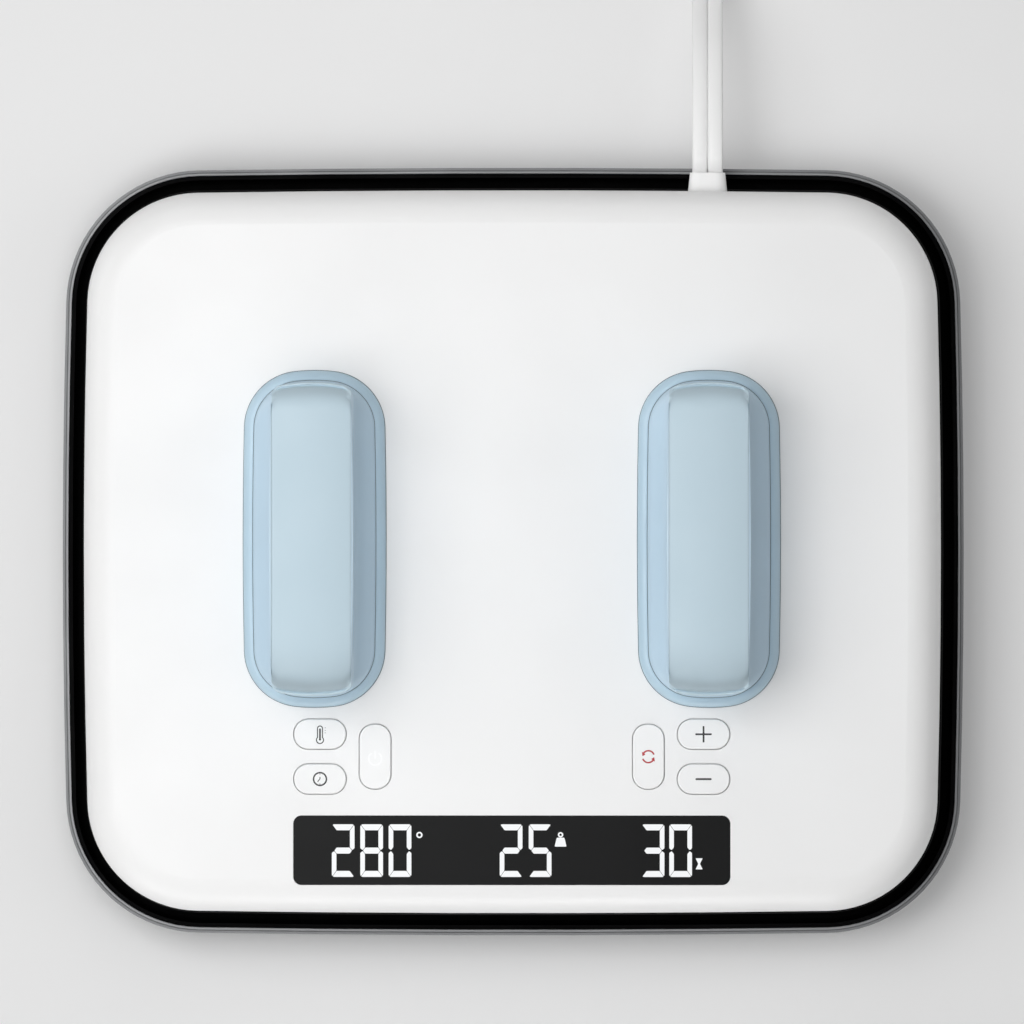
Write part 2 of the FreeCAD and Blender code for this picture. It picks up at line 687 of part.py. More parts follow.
def top_cover():
    """White moulded shell with screw bosses, open at the handles' bosses, the buttons, display and lead."""
    outer = pillow(0, z_split, z_top, SHOULDER_W, SHOULDER_H)
    hollow = pillow(-COVER_WALL, z_split - 1, z_ceiling, SHOULDER_IN_W, SHOULDER_H - COVER_WALL)
    bosses = rods(boss_places, z_split, z_top, BOSS_R)
    shell = outer.cut(hollow.cut(bosses))
    shell = shell.cut(rods(boss_places, z_split - 1, z_split + COVER_SCREW_UP + 2, M3 + THREAD_PLAY))
    for side in (-1, 1):
        shell = shell.cut(rods(bolt_places[side], z_ceiling - 1, z_top + 1, HANDLE_BOSS_R + 0.5))
        shell = shell.cut(seat_line(handle_shape, z_top, (side * handle_x, HANDLE_Y)))
    low, high = z_ceiling - 1, z_top + 1
    for x, y, w, d in buttons.values():
        shell = shell.cut(round_slab(x, y, low, high, w + 2 * CAP_GAP, d + 2 * CAP_GAP, BUTTON_R + CAP_GAP))
    shell = shell.cut(
        round_slab(0, DISPLAY_Y, low, high, DISPLAY_W + 2 * FIT, DISPLAY_L + 2 * FIT, DISPLAY_R + FIT)
    )
    mouth = wall_slab(rear_y - 3 * COVER_WALL, rear_y + 3, BOOT_W + 2 * FIT, BOOT_H + 2 * FIT)
    return shell.cut(mouth)


def wall_ring(y, w, h):
    """Closed wire of a rectangle with round corners, upright across the lead."""
    ring = round_rect(0, 0, 0, w, h, min(w, h) * 0.45)
    ring.rotate(V(0, 0, 0), X_AXIS, 90)
    ring.translate(V(cord_x, y, z_cord))
    return ring


def wall_slab(y0, y1, w, h):
    """Bar with round corners along the lead, from one y to another."""
    return Part.Face(wall_ring(y0, w, h)).extrude(Y_AXIS * (y1 - y0))


def body_pieces():
    """Steel frame on four load cells, with the screws that hold the press's body together."""
    w = 2 * (cell_x + FRAME_PAST_CELL)
    frame = round_slab(0, HANDLE_Y, z_frame, z_frame_top, w, FRAME_D, FRAME_CORNER_R)
    window_w, window_d = 2 * (handle_x - FRAME_BAR_W), FRAME_D - 2 * FRAME_BAR_D
    window = round_slab(0, HANDLE_Y, z_frame - 1, z_frame_top + 1, window_w, window_d, FRAME_CORNER_R)
    frame = frame.cut(window)
    frame = frame.cut(rods(cell_places, z_frame - 1, z_frame_top + 1, M4 + HOLE_PLAY))
    for side in (-1, 1):
        frame = frame.cut(rods(bolt_places[side], z_frame - 1, z_frame_top + 1, M6 + HOLE_PLAY))
    cell = round_slab(0, 0, z_split, z_frame, CELL_SIDE, CELL_SIDE, CELL_R)
    slot = round_slab(0, 0, z_split - 1, z_frame + 1, CELL_SIDE * 0.7, CELL_SIDE * 0.7, CELL_R)
    tongue = round_slab(0, -CELL_SIDE * 0.1, z_split, z_frame, CELL_SIDE * 0.45, CELL_SIDE * 0.6, CELL_R)
    neck = block(0, -CELL_SIDE * 0.38, z_split, (CELL_SIDE * 0.3, CELL_SIDE * 0.18, CELL_H))
    cell = cell.cut(slot.cut(tongue)).fuse(neck)
    cell = cell.cut(rod(0, 0, z_split - 1, z_frame + 1, M4 + HOLE_PLAY))
    return {
        "load_frame": frame,
        "load_cells": place_copies(cell, cell_places),
        "load_screws": screws(cell_places, z_frame_top, z_deck, M4, M4 * 1.9, PAN_HEAD_H),
        "cover_screws": screws(boss_places, z_deck, z_split + COVER_SCREW_UP, M3, M3 * 2.1, PAN_HEAD_H),
    }


def side_profile(inset):
    """Side view of a grip as a face: a bar with rolled top corners, shrunk by one distance."""
    half = HANDLE_L / 2 - GRIP_INSET - GRIP_END_TAPER - inset
    top, low, r = z_grip - inset, z_flange, GRIP_ROLL_R - inset
    cut = r * (1 - math.sqrt(0.5))
    front = [(-half, low), (-half, top - r), (cut - half, top - cut), (r - half, top)]
    points = [V(0, y, z) for y, z in front] + [V(0, -y, z) for y, z in reversed(front)]
    return Part.Face(Part.Wire([
        Part.LineSegment(points[0], points[1]).toShape(),
        Part.Arc(*points[1:4]).toShape(),
        Part.LineSegment(points[3], points[4]).toShape(),
        Part.Arc(*points[4:7]).toShape(),
        Part.LineSegment(points[6], points[7]).toShape(),
        Part.LineSegment(points[7], points[0]).toShape(),
    ]))


def profile_bar(inset, w):
    """The side profile, as wide as w, about the handle's middle plane. Its top is crowned from side to side."""
    bar = side_profile(inset).extrude(X_AXIS * w)
    bar.translate(V(-w / 2, 0, 0))
    start = V(0, -HANDLE_L, z_grip - GRIP_CROWN_R)
    return bar.common(Part.makeCylinder(GRIP_CROWN_R - inset, 2 * HANDLE_L, start, Y_AXIS))


def grip_block():
    """Grip before its finger gap: a foot with a rounded edge, swept up into an upright bar."""
    foot_w, foot_l, foot_r = foot_shape[:3]
    rings = []
    for height, flare in GRIP_FLARE + [(GRIP_FLARE_H, 0.0)]:
        w = STRAP_W + (foot_w - STRAP_W) * flare
        length = foot_l - 2 * GRIP_END_TAPER * (1 - flare)
        r = STRAP_CORNER_R + (foot_r - STRAP_CORNER_R) * flare
        rings.append(soft_outline((w, length, r, HANDLE_END_R, HANDLE_SIDE_R), 0, z_flange + height))
    bar = Part.Face(rings[-1]).extrude(Z_AXIS * (GRIP_H - GRIP_FLARE_H))
    return Part.makeLoft(rings, True, False).fuse(bar.common(profile_bar(0, STRAP_W + 2)))


def gap_edges(grip, sill):
    """Edges round both mouths of the finger gap."""
    slack = 0.1
    found = []
    for edge in grip.Edges:
        box = edge.BoundBox
        in_height = sill - slack < box.ZMin and box.ZMax < sill + FINGER_H + slack
        in_length = max(abs(box.YMin), abs(box.YMax)) < FINGER_L / 2 + slack
        if in_height and in_length and box.XLength < HANDLE_W * 0.4:
            found.append(edge)
    return found


def handle_pieces(side):
    """Blue handle: flange with two hollow bosses, grip with a gap for the fingers, soft strap, two bolts."""
    name = "left" if side < 0 else "right"
    at = (side * handle_x, HANDLE_Y)
    bolts = [(0, HANDLE_BOLT_Y), (0, -HANDLE_BOLT_Y)]
    flange = Part.Face(soft_outline(handle_shape, 0, z_top)).extrude(Z_AXIS * FLANGE_H)
    flange = rounded_at(flange, z_flange, FLANGE_EDGE_R)
    flange = flange.fuse(rods(bolts, z_frame_top, z_top + 1, HANDLE_BOSS_R))
    flange = flange.cut(rods(bolts, z_frame_top - 1, z_flange + 1, M6 + HOLE_PLAY))
    flange = flange.cut(seat_line(foot_shape, z_flange))

    sill = z_flange + FINGER_SILL
    gap = round_rect(0, 0, 0, FINGER_L, FINGER_H, FINGER_R)
    gap.rotate(V(0, 0, 0), X_AXIS, 90)
    gap.rotate(V(0, 0, 0), Z_AXIS, 90)
    gap.translate(V(-HANDLE_W, 0, sill + FINGER_H / 2))
    grip = grip_block().cut(Part.Face(gap).extrude(X_AXIS * (2 * HANDLE_W)))
    grip = grip.makeFillet(FINGER_EDGE_R, gap_edges(grip, sill))

    strap_w = STRAP_W - 2 * HANDLE_PAD_BORDER
    z_end = z_grip - HANDLE_PAD_DOWN
    above = block(0, 0, z_end, (HANDLE_W, HANDLE_L, GRIP_H))
    seat = profile_bar(-1, strap_w + 2 * FIT).cut(profile_bar(HANDLE_PAD_T, strap_w + 2)).common(above)
    grip = grip.cut(seat)
    above_pad = block(0, 0, z_end + FIT, (HANDLE_W, HANDLE_L, GRIP_H))
    strap = profile_bar(0, strap_w).cut(profile_bar(HANDLE_PAD_T, strap_w + 2)).common(above_pad)
    strap = strap.common(grip_block())
    tip = z_frame_top + HANDLE_BOLT_L
    grip = grip.cut(rods(bolts, z_flange - 1, tip + 0.5, M6 + THREAD_PLAY))
    made = {
        "handle_base_" + name: flange,
        "handle_grip_" + name: grip,
        "handle_pad_" + name: strap,
        "handle_bolts_" + name: screws(bolts, z_frame, tip, M6, M6 * 1.7, 4.0),
    }
    for shape in made.values():
        shape.translate(V(at[0], at[1], 0))
    return made


def button_cap(x, y, w, d):
    """Cap with a wider lip under the cover and a stem over its switch."""
    z_low = z_cap_lip - BUTTON_LIP_T
    cap = round_slab(x, y, z_low, z_top + BUTTON_PROUD, w, d, BUTTON_R)
    cap = rounded_at(cap, z_top + BUTTON_PROUD, BUTTON_EDGE_R)
    lip = round_slab(x, y, z_low, z_cap_lip, w + 2 * BUTTON_LIP, d + 2 * BUTTON_LIP, BUTTON_R + BUTTON_LIP)
    return cap.fuse(lip).fuse(rod(x, y, z_stem, z_cap_lip, BUTTON_STEM_R))


def control_pieces():
    """Board under the front of the cover, with switches, buzzer, display and the leads that run from it."""
    board = round_slab(0, CONTROL_Y, z_control, z_control_top, control_w, CONTROL_D, BOARD_CORNER_R)
    board = board.cut(rods(control_posts, z_control - 1, z_control_top + 1, M2 + HOLE_PLAY))
    rear = CONTROL_Y + CONTROL_D / 2
    for x in (ribbon_x, 0):
        board = board.fuse(block(x, rear - CONNECTOR[1] / 2, z_control_top, CONNECTOR))
    for x in (CHIP_X, -CHIP_X):
        board = board.fuse(block(x, middle_row, z_control_top, CHIP))
    switches = []
    for x, y, _, _ in buttons.values():
        body = block(x, y, z_control_top, (SWITCH_SIDE, SWITCH_SIDE, SWITCH_H))
        switches.append(body.fuse(rod(x, y, z_control_top + SWITCH_H, z_plunger, PLUNGER_R)))

    z_module = z_control_top + MODULE_H
    w, d = DISPLAY_W, DISPLAY_L
    module = round_slab(0, DISPLAY_Y, z_control_top, z_module, w - MODULE_IN, d - MODULE_IN, DISPLAY_R / 2)
    for x in (-WELL_PITCH, 0, WELL_PITCH):
        module = module.cut(block(x, DISPLAY_Y, z_module - WELL_DEPTH, (WELL_W, WELL_L, 2 * WELL_DEPTH)))
    gasket = round_slab(0, DISPLAY_Y, z_module, z_lip, w + LENS_LIP, d + LENS_LIP, DISPLAY_R)
    bore_w, bore_d = w - MODULE_IN - 2 * GASKET_W, d - MODULE_IN - 2 * GASKET_W
    gasket = gasket.cut(round_slab(0, DISPLAY_Y, z_module - 1, z_lip + 1, bore_w, bore_d, DISPLAY_R / 2))
    lens = round_slab(0, DISPLAY_Y, z_lip, z_top - FIT, w, d, DISPLAY_R)
    lip = round_slab(0, DISPLAY_Y, z_lip, z_ceiling - FIT, w + 2 * LENS_LIP, d + 2 * LENS_LIP, DISPLAY_R)
    lens = lens.fuse(lip)
    z_buzzer = z_control_top + BUZZER_H
    buzzer = rod(0, middle_row, z_control_top, z_buzzer, BUZZER_R)
    buzzer = buzzer.cut(rod(0, middle_row, z_buzzer - 2, z_buzzer + 1, BUZZER_R / 5))

    power_front = POWER_Y - POWER_D / 2
    z_from = z_control_top + CONNECTOR[2] / 2
    z_to = z_power_top + CONNECTOR[2] / 2
    route = [(rear, z_from), (rear + RIBBON_OUT_RUN, z_from), (power_front - RIBBON_IN_RUN, z_to)]
    route.append((power_front, z_to))
    ribbon_path = rounded_path([V(ribbon_x, y, z) for y, z in route], RIBBON_BEND)
    half_w, half_t = RIBBON_W / 2, RIBBON_T / 2
    signs = ((-1, -1), (1, -1), (1, 1), (-1, 1), (-1, -1))
    ends = [V(ribbon_x + sx * half_w, rear, z_from + sz * half_t) for sx, sz in signs]
    ribbon = ribbon_path.makePipeShell([Part.makePolygon(ends)], True, False)
    sensor_route = [V(0, SENSOR_Y, z_blanket + SENSOR_H), V(0, SENSOR_Y, z_from), V(0, rear, z_from)]
    return {
        "control_board": board,
        "button_switches": Part.makeCompound(switches),
        "display_module": module,
        "display_gasket": gasket,
        "display_lens": lens,
        "buzzer": buzzer,
        "ribbon_cable": ribbon,
        "sensor_lead": round_sweep(rounded_path(sensor_route, SENSOR_LEAD_BEND), SENSOR_LEAD_R),
    }


def lead(points):
    """Insulated wire through the given points."""
    return round_sweep(rounded_path(points, LEAD_BEND), LEAD_R)


def heater_leads():
    """Heater circuit: from the board to the fuse, the cut-out and one terminal, and back from the other."""
    z_tab = z_blanket + TERMINAL_H + TAB_H
    z_low, z_high = z_frame_top + LEAD_UP, z_tab + LEAD_OVER_TAB
    z_fuse = z_blanket + FUSE_R + FUSE_FOOT_H
    fuse_rear, fuse_front = SENSOR_Y + FUSE_L / 2 + LEAD_R, SENSOR_Y - FUSE_L / 2 - LEAD_R
    tab_in = CUTOUT_R * 0.45
    z_cutout = z_blanket + CUTOUT_H
    x, y = sensor_x, terminal_places[0][1]
    near_board = board_face + LEAD_TURN
    return Part.makeCompound([
        lead([V(board_face, way_y[2], z_high), V(near_board, way_y[2], z_high), V(-x, fuse_rear, z_high),
              V(-x, fuse_rear, z_fuse)]),
        lead([V(-x, fuse_front, z_fuse), V(-x, fuse_front, z_low), V(x, SENSOR_Y - tab_in, z_low),
              V(x, SENSOR_Y - tab_in, z_cutout)]),
        lead([V(x, SENSOR_Y + tab_in, z_cutout), V(x, SENSOR_Y + tab_in, z_high), V(TERMINAL_X, y, z_high),
              V(TERMINAL_X, y, z_tab)]),
        lead([V(-TERMINAL_X, y, z_tab), V(-TERMINAL_X, y, z_high), V(near_board, way_y[3], z_high),
              V(board_face, way_y[3], z_high)]),
    ])


def power_pieces():
    """Board at the rear with relay, triac and heat sink, the terminal block, and the leads to the heater."""
    board = round_slab(power_x, POWER_Y, z_power, z_power_top, power_w, POWER_D, BOARD_CORNER_R)
    board = board.cut(rods(power_posts, z_power - 1, z_power_top + 1, M2 + HOLE_PLAY))
    board = board.fuse(block(ribbon_x, POWER_Y - POWER_D / 2 + CONNECTOR[1] / 2, z_power_top, CONNECTOR))
    relay_x = power_left + RELAY_IN + RELAY[0] / 2
    can = rod(relay_x, POWER_Y + CAPACITOR_UP, z_power_top, z_power_top + CAPACITOR_H, CAPACITOR_R)
    board = board.fuse(can).fuse(block(board_block_x, POWER_Y, z_power_top, BOARD_BLOCK))
    relay = block(relay_x, POWER_Y - RELAY_DOWN, z_power_top, RELAY)
    relay = relay.makeFillet(RELAY_EDGE_R, relay.Edges)
    sink_x = power_left + SINK_IN + SINK[0] / 2
    sink = block(sink_x, POWER_Y, z_power_top, (SINK[0], SINK[1], SINK_BASE_T))
    pitch = SINK[0] / SINK_FINS
    for i in range(SINK_FINS):
        fin_x = sink_x - SINK[0] / 2 + (i + 0.5) * pitch
        sink = sink.fuse(block(fin_x, POWER_Y, z_power_top, (pitch * 0.35, SINK[1], SINK[2])))
    triac_x = sink_x + SINK[0] / 2 + SINK_TO_TRIAC + TRIAC[0] / 2
    triac = block(triac_x, POWER_Y, z_power_top, TRIAC)

    z_block = z_split + BLOCK[2]
    terminal = block(cord_x, BLOCK_Y, z_split, BLOCK)
    for x in (cord_x - BLOCK[0] / 4, cord_x + BLOCK[0] / 4):
        terminal = terminal.cut(rod(x, BLOCK_Y, z_block - BLOCK_SCREW_DEPTH, z_block + 1, BLOCK_SCREW_R))
    jacket_y = boot_end_y - BOOT_OUT - JACKET_IN
    core = (CORD_W - CORD_T) / 2
    leads = []
    block_rear, block_side = BLOCK_Y + BLOCK[1] / 2, cord_x - BLOCK[0] / 2
    z_way = z_power_top + LEAD_UP
    for i, x in enumerate((cord_x - core, cord_x + core)):
        leads.append(Part.makeCylinder(LEAD_R, jacket_y - block_rear, V(x, block_rear, z_cord), Y_AXIS))
        lane = BLOCK_Y + (i - 0.5) * BLOCK[1] / 2
        leads.append(lead([
            V(block_side, lane, z_cord), V(board_face + LEAD_LEVEL + LEAD_SLOPE, lane, z_cord),
            V(board_face + LEAD_LEVEL, way_y[i], z_way),
            V(board_face, way_y[i], z_way),
        ]))
    return {
        "power_board": board,
        "power_relay": relay,
        "triac": triac,
        "heat_sink": sink,
        "terminal_block": terminal,
        "mains_leads": Part.makeCompound(leads),
        "heater_leads": heater_leads(),
        "board_screws": Part.makeCompound([
            screws(control_posts, z_control_top, z_control - BOARD_SCREW_L, M2, M2 * 2.05, M2),
            screws(power_posts, z_power_top, z_power - BOARD_SCREW_L, M2, M2 * 2.05, M2),
        ]),
    }


def cord_path(points):
    """Straight runs joined by arcs as large as the shorter run beside each point allows. Prints the radii."""
    radii = []
    for i in range(1, len(points) - 1):
        back, on = points[i] - points[i - 1], points[i + 1] - points[i]
        turn = back.getAngle(on)
        radii.append(0.45 * min(back.Length, on.Length) / math.tan(turn / 2))
    print("cord radii", [round(r, 1) for r in radii])
    return path_with(points, radii)


def flat_sweep(path, side):
    """Flat lead along a path, its broad side along the given direction where it starts."""
    first = path.OrderedEdges[0]
    start = first.valueAt(first.FirstParameter)
    ring = flat_ring(start, first.tangentAt(first.FirstParameter), side, CORD_W, CORD_T)
    solid = path.makePipeShell([ring], True, False)
    section = (CORD_W - CORD_T) * CORD_T + math.pi * CORD_T**2 / 4
    print("lead length", round(path.Length, 1), "volume over section", round(solid.Volume / section, 1))
    return solid


def coil_route():
    """Half turns of the coil as (start, end, side): in over the table layer, up a layer, then out."""
    pitch, layer = CORD_W + COIL_GAP, CORD_T + COIL_GAP
    centre = cord_x - COIL_R
    n = COIL_TURNS_IN
    stops = []
    for k in range(n):
        stops += [(COIL_R - k * pitch, 0), (-COIL_R + k * pitch, 0)]
    stops += [(COIL_R - n * pitch, 0), (-COIL_R + n * pitch, layer)]
    for k in range(n - 1, -1, -1):
        stops += [(COIL_R - k * pitch, layer), (-COIL_R + k * pitch, layer)]
    points = [V(centre + x, COIL_Y, z_lay + z) for x, z in stops]
    return [(points[i], points[i + 1], 1 if i % 2 == 0 else -1) for i in range(len(points) - 1)]


def coil_path():
    """The half turns as arcs, with the last one cut at its quarter, where it heads to the left at the rear."""
    arcs = []
    route = coil_route()
    for i, (a, b, side) in enumerate(route):
        middle = (a + b) * 0.5
        r = (b - a).Length / 2
        apex = middle + Y_AXIS * (side * r)
        if i == len(route) - 1:
            k = math.sqrt(0.5)
            arcs.append(Part.Arc(a, middle + (a - middle) * k + Y_AXIS * (r * k), apex))
        else:
            arcs.append(Part.Arc(a, apex, b))
    return Part.Wire([arc.toShape() for arc in arcs])


def coil_self_gap(path):
    """Least space between two turns, from points along the coil and the flat section's shape."""
    points = []
    for edge in path.OrderedEdges:
        points += edge.discretize(24)[:-1]
    step = path.Length / len(points)
    apart = int(1.2 * math.pi * COIL_R / 2 / step)
    least = math.inf
    for i, p in enumerate(points):
        for q in points[i + apart:]:
            flat = max(0.0, math.hypot(p.x - q.x, p.y - q.y) - (CORD_W - CORD_T))
            least = min(least, math.hypot(flat, p.z - q.z) - CORD_T)
    return least


def cord_pieces():
    """Boot, clamp, the lead's two free stretches, its coil with a tie, and a flat two-blade plug."""
    inside = rear_y - COVER_WALL
    mouth, nose = wall_ring(inside, BOOT_W, BOOT_H), wall_ring(boot_end_y, BOOT_END_W, BOOT_END_H)
    boot = Part.makeLoft([mouth, nose], True, True)
    out = 2 * BOOT_FLANGE_OUT
    boot = boot.fuse(wall_slab(inside - FIT - BOOT_FLANGE_T, inside - FIT, BOOT_W + out, BOOT_H + out))
    boot = boot.fuse(wall_slab(inside - BOOT_FLANGE_T, inside + 1, BOOT_W - 1, BOOT_H - 1))
    jacket_y = boot_end_y - BOOT_OUT - JACKET_IN
    jacket = Part.Face(flat_ring(V(cord_x, jacket_y, z_cord), Y_AXIS, X_AXIS, CORD_W, CORD_T))
    boot = boot.fuse(jacket.extrude(Y_AXIS * (inside - jacket_y)))

    clamp_y = (jacket_y + inside) / 2 - CLAMP_IN
    clamp = block(cord_x, clamp_y, z_split, CLAMP)
    before = V(cord_x, clamp_y - CLAMP[1], z_cord)
    passage = Part.Face(flat_ring(before, Y_AXIS, X_AXIS, CORD_W + 2 * FIT, CORD_T + 2 * FIT))
    clamp = clamp.cut(passage.extrude(Y_AXIS * (2 * CLAMP[1])))

    coil_start = coil_route()[0][0]
    route = [(boot_end_y, z_cord), (boot_end_y + CORD_LAST, z_cord)] + CORD_FALL
    route += [(coil_start.y - CORD_LAST, z_lay), (coil_start.y, z_lay)]
    stretch = flat_sweep(cord_path([V(cord_x, y, z) for y, z in route]), X_AXIS)

    path = coil_path()
    coil = flat_sweep(path, X_AXIS)
    print("coil turns", len(path.Edges) / 2 - 0.25, "least gap to itself", round(coil_self_gap(path), 2))

    last = path.OrderedEdges[-1]
    end = last.valueAt(last.LastParameter)
    pitch, layer = CORD_W + COIL_GAP, CORD_T + COIL_GAP
    tail_route = [end, V(end.x - TAIL_RUN, end.y, end.z)]
    tail_route += [V(end.x - x, end.y - y, PLUG_H / 2) for x, y in TAIL_FALL]
    tail = flat_sweep(cord_path(tail_route), Y_AXIS)

    bulge = (TIE_W / 2) ** 2 / (2 * (COIL_R - COIL_TURNS_IN * pitch - CORD_W / 2))
    low_x = cord_x - 2 * COIL_R - CORD_W / 2
    bundle_w, bundle_h = COIL_TURNS_IN * pitch + CORD_W + bulge, layer + CORD_T + COIL_LEAN
    band = round_rect(0, 0, 0, bundle_w + 2 * (TIE_GAP + TIE_T), bundle_h + 2 * (TIE_GAP + TIE_T), 3)
    bore = round_rect(0, 0, 0, bundle_w + 2 * TIE_GAP, bundle_h + 2 * TIE_GAP, 3 - TIE_T)
    tie = Part.Face(band).extrude(Z_AXIS * TIE_W).cut(Part.Face(bore).extrude(Z_AXIS * TIE_W))
    tie.rotate(V(0, 0, 0), X_AXIS, 90)
    tie.translate(V(low_x + bundle_w / 2, COIL_Y + TIE_W / 2, z_lay + (layer + COIL_LEAN) / 2))

    made = {
        "cord_boot": boot,
        "cord_clamp": clamp,
        "cord_stretch": stretch,
        "cord_coil": coil,
        "cord_tail": tail,
        "cord_tie": tie,
    }
    made.update(plug_pieces(tail_route[-1], tail_route[-1] - tail_route[-2]))
    return made


def across(u, w, h):
    """Closed wire of a rectangle with round corners, upright across the plug at one distance along it."""
    ring = round_rect(0, 0, 0, w, h, min(w, h) * 0.35)
    ring.rotate(V(0, 0, 0), X_AXIS, 90)
    ring.rotate(V(0, 0, 0), Z_AXIS, 90)
    ring.translate(V(u, 0, 0))
    return ring


def blade(y, width):
    """Flat blade on edge, with its root in the plug and a round hole near its tip."""
    root, length = PLUG_NECK + PLUG_L - BLADE_ROOT, BLADE_ROOT + BLADE_L
    bar = Part.makeBox(length, BLADE_T, width, V(root, y - BLADE_T / 2, -width / 2))
    hole = V(root + length - 2.4 * BLADE_HOLE_R, y - BLADE_T, 0)
    return bar.cut(Part.makeCylinder(BLADE_HOLE_R, 2 * BLADE_T, hole, Y_AXIS))


def plug_pieces(at, heading):
    """Flat plug on the table: tapered neck, moulded body and two blades on edge, one wider than the other."""
    shoulder = PLUG_NECK + PLUG_L * 0.3
    neck = [across(0, CORD_W + 2, CORD_T + 2), across(PLUG_NECK, PLUG_W * 0.72, PLUG_H * 0.72)]
    grip = [across(PLUG_NECK, PLUG_W * 0.8, PLUG_H * 0.8), across(shoulder, PLUG_W, PLUG_H)]
    grip.append(across(PLUG_NECK + PLUG_L, PLUG_W, PLUG_H))
    body = Part.makeLoft(neck, True, True).fuse(Part.makeLoft(grip, True, True))
    blades = [blade(side * BLADE_PITCH / 2, width) for side, width in zip((-1, 1), BLADE_WIDTHS)]
    for bar in blades:
        body = body.cut(bar)
    blades = Part.makeCompound(blades)
    yaw = math.degrees(math.atan2(heading.y, heading.x))
    for shape in (body, blades):
        shape.rotate(V(0, 0, 0), Z_AXIS, yaw)
        shape.translate(at)
    return {"plug_body": body, "plug_blades": blades}


nodes = {}
nodes.update(base_pieces())
nodes.update(hot_pieces())
nodes["lower_housing"] = lower_housing()
nodes["top_cover"] = top_cover()
nodes.update(body_pieces())
for handle_side in (-1, 1):
    nodes.update(handle_pieces(handle_side))
for button_name, button in buttons.items():
    nodes[button_name] = button_cap(*button)
nodes.update(control_pieces())
nodes.update(power_pieces())
nodes.update(cord_pieces())

os.makedirs("parts", exist_ok=True)
for node_name, node_shape in nodes.items():
    node_shape.exportStep(os.path.join("parts", node_name + ".step"))
print(len(nodes), "nodes")
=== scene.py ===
import math

import bpy
import numpy as np
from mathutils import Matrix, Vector


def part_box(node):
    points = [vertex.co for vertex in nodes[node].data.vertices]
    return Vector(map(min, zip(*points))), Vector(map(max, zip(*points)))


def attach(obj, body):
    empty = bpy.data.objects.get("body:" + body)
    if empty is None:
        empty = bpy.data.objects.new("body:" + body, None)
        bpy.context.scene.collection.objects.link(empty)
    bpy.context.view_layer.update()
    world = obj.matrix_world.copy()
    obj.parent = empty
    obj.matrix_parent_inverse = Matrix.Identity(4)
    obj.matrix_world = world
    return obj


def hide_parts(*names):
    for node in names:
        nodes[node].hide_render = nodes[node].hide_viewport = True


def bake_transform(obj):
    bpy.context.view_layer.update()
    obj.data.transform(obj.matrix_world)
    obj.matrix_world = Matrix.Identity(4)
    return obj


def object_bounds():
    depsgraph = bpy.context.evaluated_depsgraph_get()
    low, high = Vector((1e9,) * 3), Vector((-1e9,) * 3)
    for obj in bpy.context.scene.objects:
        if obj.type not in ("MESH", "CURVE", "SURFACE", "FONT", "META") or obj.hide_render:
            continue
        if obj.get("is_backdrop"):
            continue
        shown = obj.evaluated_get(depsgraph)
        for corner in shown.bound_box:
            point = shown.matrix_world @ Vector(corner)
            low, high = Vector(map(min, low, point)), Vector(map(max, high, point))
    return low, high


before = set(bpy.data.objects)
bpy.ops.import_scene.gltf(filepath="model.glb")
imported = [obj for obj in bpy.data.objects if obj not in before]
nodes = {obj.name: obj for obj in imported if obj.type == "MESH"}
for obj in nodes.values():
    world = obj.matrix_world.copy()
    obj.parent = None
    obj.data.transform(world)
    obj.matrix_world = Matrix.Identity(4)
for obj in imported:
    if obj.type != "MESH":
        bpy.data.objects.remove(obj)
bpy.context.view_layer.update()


# Rubber feet.
# Four round feet of black rubber, moulded with a rounded lower edge and glued into pockets in the base.
# This section also has the tools that every later finish is wired with.
def blank_finish(name, colour, rough, metal=0.0, specular=0.5):
    """A principled material with its plain values set and nothing wired in yet."""
    made = bpy.data.materials.new(name)
    made.use_nodes = True
    shader = made.node_tree.nodes["Principled BSDF"]
    shader.inputs["Base Color"].default_value = (*colour, 1)
    shader.inputs["Roughness"].default_value = rough
    shader.inputs["Metallic"].default_value = metal
    shader.inputs["Specular IOR Level"].default_value = specular
    return made, made.node_tree, shader


WAVE_BAND = 2 * math.pi / 20


def pattern(tree, kind, size, stretch=(1, 1, 1), at=(0, 0, 0), turn=0.0, source="Object", **values):
    """A texture on the piece's own coordinates, or on an attribute that its mesh carries. Size is the
    length of one feature in metres. A wave's band is 2 pi / 20 of the node's unit."""
    if source == "Object":
        place = tree.nodes.new("ShaderNodeTexCoord").outputs["Object"]
    else:
        carried = tree.nodes.new("ShaderNodeAttribute")
        carried.attribute_name = source
        place = carried.outputs["Vector"]
    mapping = tree.nodes.new("ShaderNodeMapping")
    mapping.inputs["Location"].default_value = at
    mapping.inputs["Rotation"].default_value = (0, 0, turn)
    mapping.inputs["Scale"].default_value = stretch
    tree.links.new(place, mapping.inputs["Vector"])
    node = tree.nodes.new("ShaderNodeTex" + kind)
    tree.links.new(mapping.outputs["Vector"], node.inputs["Vector"])
    node.inputs["Scale"].default_value = (WAVE_BAND if kind == "Wave" else 1) / size
    for key, value in values.items():
        socket = key.replace("_", " ")
        if socket in node.inputs:
            node.inputs[socket].default_value = value
        else:
            setattr(node, key, value)
    return node.outputs["Distance" if kind == "Voronoi" else "Fac"]


def spread(tree, factor, low, high, start=0.3, end=0.7):
    """Maps the middle of a texture's range to the range from low to high."""
    node = tree.nodes.new("ShaderNodeMapRange")
    for key, value in (("From Min", start), ("From Max", end), ("To Min", low), ("To Max", high)):
        node.inputs[key].default_value = value
    tree.links.new(factor, node.inputs["Value"])
    return node.outputs["Result"]


